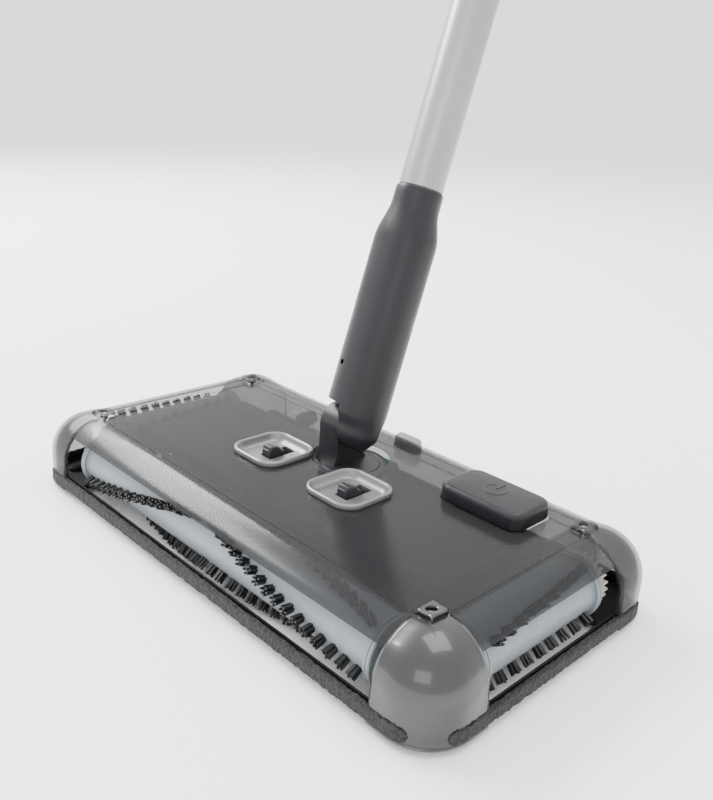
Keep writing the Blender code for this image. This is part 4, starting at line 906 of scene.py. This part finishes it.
def build_pedal():
    """The pedal with its stem and a raised power mark."""
    slab, middle, top = pedal_shape()
    low, high = corners_of("pedal_spring")
    stem_place = (low + high) / 2
    pedal_low = corners_of("foot_pedal")[0][2]
    stem = lathe([(0.0016, pedal_low), (0.0022, pedal_low + 0.0006), (0.0022, top - 0.006)], 32)
    angle = np.radians(np.linspace(125, 415, 64))
    ring = 0.0058 * np.column_stack([np.cos(angle), np.sin(angle)])
    bar = np.column_stack([np.zeros(12), np.linspace(0.0012, 0.0078, 12)])
    mark = (bead(ring, 0.0008, 0.0008) + bead(bar, 0.0008, 0.0008)).placed(shift=(*middle[:2], top - 0.0001))
    shape = slab + stem.placed(shift=(*stem_place[:2], 0)) + mark
    make("pedal_slab", shape, look("grey"), "pedal", ("foot_pedal",), 40.0)


# ---------------------------------------------------------------- rollers

def row_angles(front, share):
    """Angle of the first tuft row along a roller: a V on the front roller, a slow turn on a side one."""
    if front:
        return np.radians(210 - 85 * (1 - np.abs(2 * share - 1)))
    return np.radians(52 - 24 * share)


def tuft_shape(root, tip):
    """One tuft standing along X: seven five-sided strands that part a little towards their tips."""
    radius = sizes().strand_radius
    angle = np.linspace(0, 2 * math.pi, 5, endpoint=False)
    around = np.linspace(0, 2 * math.pi, 6, endpoint=False)
    spots = np.concatenate([[(0.0, 0.0)], np.column_stack([np.cos(around), np.sin(around)])])
    reach = np.array([0.0, 0.25, -0.2, 0.1, -0.35, 0.2, -0.1]) * 0.001
    strands = None
    for spot, extra in zip(spots, reach):
        rows = []
        for share, size in ((0.0, 1.0), (1.0, 0.80)):
            middle = spot * radius * (1.65 + 0.75 * share)
            ring = middle + radius * size * np.column_stack([np.cos(angle), np.sin(angle)])
            rows.append(np.column_stack([np.full(5, root + (tip + extra - root) * share), ring]))
        strand = weave(np.stack(rows), ends=True)
        strands = strand if strands is None else strands + strand
    return strands


def tufts(start, end, pitch, front, seed):
    """Every tuft of a roller about Z, turned to its row's angle, rolled at random and set at its station."""
    count = round((end - start) / pitch)
    share = np.tile((np.arange(count) + 0.5) / count, sizes().tuft_rows)
    row = np.repeat(np.arange(sizes().tuft_rows), count)
    draw = np.random.default_rng(seed)
    angle = row_angles(front, share) + row * 2 * math.pi / sizes().tuft_rows + draw.normal(0, 0.012, len(row))
    roll = draw.uniform(0, 2 * math.pi, len(row))
    c, s = np.cos(angle), np.sin(angle)
    zero = np.zeros_like(c)
    out = np.stack([c, s, zero], -1)
    side = np.stack([-s, c, zero], -1)
    up = np.broadcast_to((0.0, 0.0, 1.0), out.shape)
    first = side * np.cos(roll)[:, None] + up * np.sin(roll)[:, None]
    second = -side * np.sin(roll)[:, None] + up * np.cos(roll)[:, None]
    station = start + (end - start) * share + draw.normal(0, 0.00012, len(row))
    shifts = np.stack([zero, zero, station], -1)
    return tuft_shape(sizes().core_radius - 0.001, 0.0200).copies(np.stack([out, first, second], -1), shifts)


def core_profile(start, end, axle_start, axle_end, axle):
    """Half section of a core: stub axle, dished end, collar with a groove, barrel, and the same again."""
    barrel, collar = sizes().core_radius, sizes().collar_radius
    near = [
        (axle, 0.0), (0.0085, 0.0), (0.0090, 0.0008), (0.0118, 0.0008), (0.0122, 0.0),
        (collar - 0.0005, 0.0), (collar, 0.0005), (collar, 0.0016), (collar - 0.0005, 0.0018),
        (collar - 0.0005, 0.0021), (collar, 0.0023), (collar, 0.0034), (collar - 0.0004, 0.0038),
        (barrel + 0.0004, 0.0038), (barrel, 0.0042),
    ]
    return ([(axle, axle_start)] + [(r, start + h) for r, h in near]
            + [(r, end - h) for r, h in reversed(near)] + [(axle, axle_end)])


def build_rollers():
    """Cores with collars, and tufts in rows."""
    rollers = (("front", ALONG_X, 0, 0.0072), ("left", ALONG_Y, 1, 0.0090), ("right", ALONG_Y, 1, 0.0090))
    for seed, (name, turn, axis, pitch) in enumerate(rollers):
        place = pivot(f"{name}_roller_spin").copy()
        middle = place[axis]
        sleeve_low, sleeve_high = (corner[axis] - middle for corner in corners_of(f"{name}_roller_bristles"))
        axle_low, axle_high = (corner[axis] - middle for corner in corners_of(f"{name}_roller_core"))
        margin = 0.0040
        profile = core_profile(sleeve_low - margin, sleeve_high + margin, axle_low, axle_high, 0.0025)
        core = lathe(profile, 72).placed(turn, place)
        body = f"{name}_roller"
        make(f"{name}_core_barrel", core, look("core"), body, (f"{body}_core",))
        half = TUFT_HALF
        brush = tufts(sleeve_low + half, sleeve_high - half, pitch, name == "front", seed)
        make(f"{name}_tufts", brush.placed(turn, place), look("bristle"), body,
             (f"{body}_bristles",), 60.0)


def build_wheels():
    """Small rubber wheels with a rounded tread, a dished hub and a peg on each side."""
    for corner in ("front_left", "front_right", "rear_left", "rear_right"):
        end, side = corner.split("_")
        low, high = corners_of(f"wheel_{corner}")
        radius = (high - low)[2] / 2
        peg = (high - low)[0] / 2
        half = 0.00225
        arc = np.linspace(-1, 1, 13)
        tread = [(radius - 0.0007 * t ** 4, half * t) for t in arc]
        hub = [(0.0008, peg), (0.0008, half - 0.0004), (0.0022, half - 0.0004), (0.0026, half)]
        hub.append((radius - 0.0012, half))
        profile = [(r, -h) for r, h in hub] + tread + hub[::-1]
        wheel = lathe(profile, 48).placed(ALONG_X, (low + high) / 2)
        make(f"rubber_wheel_{corner}", wheel, look("rubber"), f"wheel_{end[0]}{side[0]}",
             (f"wheel_{corner}",))


# ---------------------------------------------------------------- turret and handle

def along_handle(node):
    """Where a node starts and ends along the handle, measured from the pivot."""
    mesh = frame["nodes"][node].data
    points = np.empty(len(mesh.vertices) * 3)
    mesh.vertices.foreach_get("co", points)
    station = (points.reshape(-1, 3) - PIVOT) @ ALONG
    return station.min(), station.max()


def build_turret():
    """Turret disc with a rolled edge, and the lug with its flared foot and pin hole."""
    low, high = corners_of("swivel_turret")
    radius = (high - low)[0] / 2
    middle = (low + high) / 2
    disc_top = pivot("turret_swivel")[2]
    disc_low = disc_top - 0.004
    arc = np.linspace(0, math.pi / 2, 7)
    profile = [(0.0070, low[2]), (0.0070, disc_low), (radius, disc_low), (radius, disc_top - 0.0012)]
    roll = 0.0012
    profile += [(radius - roll + roll * math.cos(a), disc_top - roll + roll * math.sin(a)) for a in arc]
    groove = disc_top - 0.0004
    profile += [(radius - 0.0035, disc_top), (radius - 0.0039, groove), (radius - 0.0045, groove),
                (radius - 0.0049, disc_top), (0.002, disc_top)]
    disc = lathe(profile, 80).placed(shift=(middle[0], middle[1], 0))
    lug_radius = high[2] - PIVOT[2]
    heights = np.linspace(disc_top - 0.001, PIVOT[2], 16)
    flare = 0.0030 * np.exp(-(heights - disc_top) / 0.0030)
    dome = np.linspace(0, math.pi, 33)
    y = np.concatenate([lug_radius + flare, lug_radius * np.cos(dome)[1:-1], -(lug_radius + flare)[::-1]])
    z = np.concatenate([heights, PIVOT[2] + lug_radius * np.sin(dome)[1:-1], heights[::-1]])
    roll = 0.0014
    angle = np.linspace(0, math.pi / 2, 7)
    rows = [(-0.0163 + roll * (1 - math.sin(a)), roll * (1 - math.cos(a)) / lug_radius) for a in angle[::-1]]
    rows = sorted(rows) + [(-0.0010, 0.0), (-0.00015, 0.05)]
    rows = [(x, 1 - inset) for x, inset in rows]
    grid = np.stack([
        np.column_stack([np.full(len(y), x), PIVOT[1] + y * k, disc_top + (z - disc_top) * (0.5 + k / 2)])
        for x, k in rows
    ])
    lug = weave(grid, ends=True)
    hole = prism(oval(0.0033, 0.0033, steps=40), -0.03, 0.01).placed(ALONG_X, PIVOT)
    seat = prism(oval(0.0060, 0.0060, steps=48), -0.03, -0.0150).placed(ALONG_X, PIVOT)
    lug = carved("turret_lug", lug, hole + seat)
    make("turret_lug", lug, look("grey"), "turret", (), 35.0)
    make("turret_disc", disc, look("grey"), "turret", ("swivel_turret",), 35.0)


def neck_shape():
    """Neck: squarish ovals along the handle, flat on one side below the lap, shouldered in to the tube."""
    low, high = along_handle("handle_neck")
    width, depth, tube = 0.0178, 0.0152, 0.0131
    lap = 0.0120
    below = np.linspace(low, 0, 12)
    stations = np.concatenate([
        below, np.linspace(0.0015, lap, 8), np.linspace(lap + 0.0004, high - 0.004, 60),
        high - 0.0040 + 0.0040 * np.sin(np.linspace(0, math.pi / 2, 6)),
    ])
    foot = 0.0118
    half_depth = np.where(stations < 0, np.sqrt(np.maximum(foot ** 2 - stations ** 2, 1e-8)),
                          foot + (depth - foot) * smooth_step(stations, 0, 0.010))
    half_width = width - 0.0050 * (1 - smooth_step(stations, low, low + 0.009))
    shoulder = smooth_step(stations, high - 0.030, high - 0.009)
    half_width = half_width + (tube + 0.0004 - half_width) * shoulder
    half_depth = half_depth + (tube + 0.0004 - half_depth) * np.where(stations > 0, shoulder, 0)
    lip = np.clip((stations - (high - 0.0040)) / 0.0040, 0, 1)
    trim = 0.0007 * (1 - np.sqrt(1 - lip ** 2))
    power = sizes().neck_squareness + (2.0 - sizes().neck_squareness) * shoulder
    outlines = []
    for a, b, p, s in zip(half_width - trim, half_depth - trim, power, stations):
        outline = oval(a, b, p, 96)
        if s <= lap:
            outline[:, 0] = np.maximum(outline[:, 0], 0.00015)
        outlines.append(outline)
    bore = 0.0117
    outlines += [oval(bore, bore, 2, 96), oval(bore, bore, 2, 96)]
    stations = np.concatenate([stations, [high, high - 0.0285]])
    return weave(lifted(outlines, stations), ends=True)


def tube_profile(start, end, radius, wall, spigot=None):
    """Looped half section of a tube, its rims broken, with a spigot that goes into the piece below."""
    rim = 0.0004
    inner = radius - wall
    profile = [(radius - rim, start), (radius, start + rim), (radius, end - rim), (radius - rim, end),
               (inner + rim, end), (inner, end - rim)]
    if spigot is None:
        return profile + [(inner, start + rim), (inner + rim, start)]
    step = start + 0.002
    profile += [(inner, step), (inner - wall, step), (inner - wall, spigot)]
    return profile + [(inner, spigot), (inner, start)]


def coupler_profile(start, end, bore, wall):
    """Looped half section of a coupler: swollen rims and three fine grooves about its middle."""
    s = np.linspace(0, 1, 60)
    edge = np.minimum(s, 1 - s) * (end - start)
    radius = bore + wall * (0.62 + 0.38 * np.sqrt(np.clip(edge / 0.0016, 0, 1)))
    for middle in (0.38, 0.5, 0.62):
        radius -= 0.0004 * np.exp(-((s - middle) / 0.012) ** 2)
    outside = list(zip(radius, start + (end - start) * s))
    return outside + [(bore, end), (bore, start)]


GRIP_RIBS = 16
GRIP_SECTIONS = (
    (0.0, 0.0140, 0.0138), (0.05, 0.0150, 0.0144), (0.25, 0.0150, 0.0140), (0.55, 0.0174, 0.0154),
    (0.82, 0.0169, 0.0149), (0.94, 0.0148, 0.0133), (0.985, 0.0105, 0.0094), (1.0, 0.0050, 0.0045),
)


def grip_shape(start, end, plug_start):
    """Grip: ovals along the handle that swell towards the palm, with soft finger ribs, on a round plug."""
    s = np.linspace(0, 1, 90)
    share, wide, deep = np.array(GRIP_SECTIONS).T
    half_x = np.interp(s, share, wide)
    half_y = np.interp(s, share, deep)
    ribbed = smooth_step(s, 0.12, 0.2) * (1 - smooth_step(s, 0.78, 0.86))
    rib = 0.0004 * (0.5 - 0.5 * np.cos(s * 2 * math.pi * GRIP_RIBS)) * ribbed
    outlines = [oval(0.0111, 0.0111, 2, 72)] * 2
    outlines += [oval(a, b, 2.2, 72) for a, b in zip(half_x - rib, half_y - rib)]
    return weave(lifted(outlines, [plug_start, start, *(start + (end - start) * s)]), ends=True)


def build_handle():
    """Neck, tubes, couplers and grip, all along the leaning axis."""
    hole = prism(oval(0.0016, 0.0016, steps=32), 0.0, 0.03).placed(
        np.stack([(1.0, 0, 0), (0, 0, 1.0), (0, -1.0, 0)], 1), (-0.0080, 0.0, 0.0345))
    seat = prism(oval(0.0125, 0.0125, steps=64), -0.03, -0.0166).placed(ALONG_X, (0.0, 0.0, 0.0205))
    neck = carved("neck", neck_shape(), hole, seat)
    neck.transform(Matrix.Translation(PIVOT) @ Matrix(HANDLE.tolist()).to_4x4())
    make("neck_shell", neck, look("grey"), "handle", ("handle_neck",), 30.0)
    radius = 0.0125
    for number in (1, 2, 3):
        start, end = along_handle(f"handle_tube_{number}")
        spigot = None
        if number == 1:
            spigot = start
            start = along_handle("handle_neck")[1] + 0.0003
        profile = tube_profile(start, end, radius, 0.0011, spigot)
        tube = lathe(profile, 72, looped=True).placed(HANDLE, PIVOT)
        make(f"silver_tube_{number}", tube, look("tube"), "handle", (f"handle_tube_{number}",))
    for number in (1, 2):
        start, end = along_handle(f"tube_coupler_{number}")
        coupler = lathe(coupler_profile(start, end, radius + 0.0003, 0.0016), 72, looped=True)
        make(f"coupler_ring_{number}", coupler.placed(HANDLE, PIVOT), look("grey"), "handle",
             (f"tube_coupler_{number}",))
    plug_start, end = along_handle("hand_grip")
    start = along_handle("handle_tube_3")[1] + 0.0003
    grip = grip_shape(start, end, plug_start).placed(HANDLE, PIVOT)
    make("ribbed_grip", grip, look("rubber"), "handle", ("hand_grip",), 50.0)


# ---------------------------------------------------------------- stage

def build_stage():
    """Pale floor, soft lights and the camera."""
    radius = 9.0
    angle = np.linspace(0, 2 * math.pi, 96, endpoint=False)
    disc = np.column_stack([radius * np.cos(angle), radius * np.sin(angle), np.zeros(96)])
    mesh = to_mesh("studio_floor", Shape(disc, np.arange(96)[None]))
    material = Look("floor_paint")
    speck = material.noise(3.0, 2.0)
    pale = material.blend(speck, shade(colours().floor, 0.985), colours().floor)
    material.finish(Base_Color=pale, Roughness=0.75)
    mesh.materials.append(material.material)
    floor = bpy.data.objects.new("studio_floor", mesh)
    bpy.context.scene.collection.objects.link(floor)
    world = bpy.data.worlds.new("studio_world")
    world.use_nodes = True
    world.node_tree.nodes["Background"].inputs["Color"].default_value = (1.0, 1.0, 1.0, 1.0)
    world.node_tree.nodes["Background"].inputs["Strength"].default_value = 2.0
    bpy.context.scene.world = world
    target = HEAD + (0, 0, 0.03)
    for name, place, size, power in (
        ("side_softbox", (-1.5, -0.25, 1.25), (1.6, 0.5), 85.0),
        ("top_softbox", (0.15, 0.35, 1.9), (1.4, 1.4), 30.0),
        ("front_fill", (0.9, -1.6, 0.9), (1.0, 0.7), 6.0),
    ):
        lamp = bpy.data.lights.new(name, "AREA")
        lamp.shape = "RECTANGLE"
        lamp.size, lamp.size_y = size
        lamp.energy = power
        body = bpy.data.objects.new(name, lamp)
        bpy.context.scene.collection.objects.link(body)
        away = np.array(place) - target
        away /= np.linalg.norm(away)
        across = np.cross((0.0, 0.0, 1.0), away)
        across /= np.linalg.norm(across)
        body.matrix_world = Matrix.Translation(place) @ Matrix(
            np.stack([across, np.cross(away, across), away], 1).tolist()).to_4x4()
    place_camera()


def place_camera():
    """Camera from its azimuth, elevation and roll; back is its own +Z."""
    azimuth, elevation, roll = np.radians((44.99, 20.38, 3.5))
    back = np.array((math.sin(azimuth) * math.cos(elevation), -math.cos(azimuth) * math.cos(elevation),
                     math.sin(elevation)))
    level = np.cross((0.0, 0.0, 1.0), back)
    level /= np.linalg.norm(level)
    upright = np.cross(back, level)
    right = math.cos(roll) * level + math.sin(roll) * upright
    above = -math.sin(roll) * level + math.cos(roll) * upright
    camera = bpy.data.cameras.new("studio_camera")
    camera.sensor_width = 36.0
    camera.lens = 38.4
    camera.clip_start = 0.01
    body = bpy.data.objects.new("studio_camera", camera)
    bpy.context.scene.collection.objects.link(body)
    body.matrix_world = Matrix.Translation(HEAD + (0.3201, -0.2928, 0.2456)) @ Matrix(
        np.stack([right, above, back], 1).tolist()).to_4x4()
    bpy.context.scene.camera = body


def build_finishes():
    """Gives every node that stays its finish."""
    for name, nodes in KEPT_NODES.items():
        for node in nodes:
            materials = frame["nodes"][node].data.materials
            materials.clear()
            materials.append(look(name))


# ---------------------------------------------------------------- the add-on

def operator(name, label, text, action):
    """An operator class that runs one builder."""
    def execute(self, context):
        action()
        return {"FINISHED"}

    return type(f"SWEEPER_OT_{name}", (bpy.types.Operator,), {
        "__doc__": text, "bl_idname": f"sweeper.{name}", "bl_label": label, "execute": execute,
    })


OPERATORS = [operator(*row) for row in (
    ("stage", "Stage", "Makes the floor, lights and camera", build_stage),
    ("finishes", "Frame finishes", "Gives the frame's own nodes their materials", build_finishes),
    ("cover", "Smoked cover", "Makes the see-through cover and its rear tab", build_cover),
    ("caps", "Corner caps", "Makes the corner caps and their screws", build_caps),
    ("strips", "Bumper strips", "Makes the four sponge strips", build_strips),
    ("wells", "Wells and levers", "Makes the well bezels and release levers", build_wells),
    ("pedal", "Foot pedal", "Makes the foot pedal with its power mark", build_pedal),
    ("rollers", "Rollers", "Makes the roller cores and their tufts", build_rollers),
    ("wheels", "Wheels", "Makes the four floor wheels", build_wheels),
    ("turret", "Turret", "Makes the swivel turret and its lug", build_turret),
    ("handle", "Handle", "Makes the neck, tubes, couplers and grip", build_handle),
)]


class SWEEPER_PT_panel(bpy.types.Panel):
    """Lists the pieces and the settings."""

    bl_label = "Sweeper"
    bl_idname = "SWEEPER_PT_panel"
    bl_space_type = "VIEW_3D"
    bl_region_type = "UI"
    bl_category = "Sweeper"

    def draw(self, context):
        for item in OPERATORS:
            self.layout.operator(item.bl_idname)
        for group in (context.scene.sweeper_sizes, context.scene.sweeper_colours):
            for name in group.bl_rna.properties.keys():
                if name not in ("rna_type", "name"):
                    self.layout.prop(group, name)


CLASSES = [SweeperSizes, SweeperColours, *OPERATORS, SWEEPER_PT_panel]


def register():
    for item in CLASSES:
        bpy.utils.register_class(item)
    bpy.types.Scene.sweeper_sizes = PointerProperty(type=SweeperSizes)
    bpy.types.Scene.sweeper_colours = PointerProperty(type=SweeperColours)


def unregister():
    del bpy.types.Scene.sweeper_sizes
    del bpy.types.Scene.sweeper_colours
    for item in reversed(CLASSES):
        bpy.utils.unregister_class(item)


def main():
    """Builds every piece in order and writes both boxes."""
    register()
    for item in OPERATORS:
        getattr(bpy.ops.sweeper, item.bl_idname.split(".")[1])()


if __name__ == "__main__":
    main()
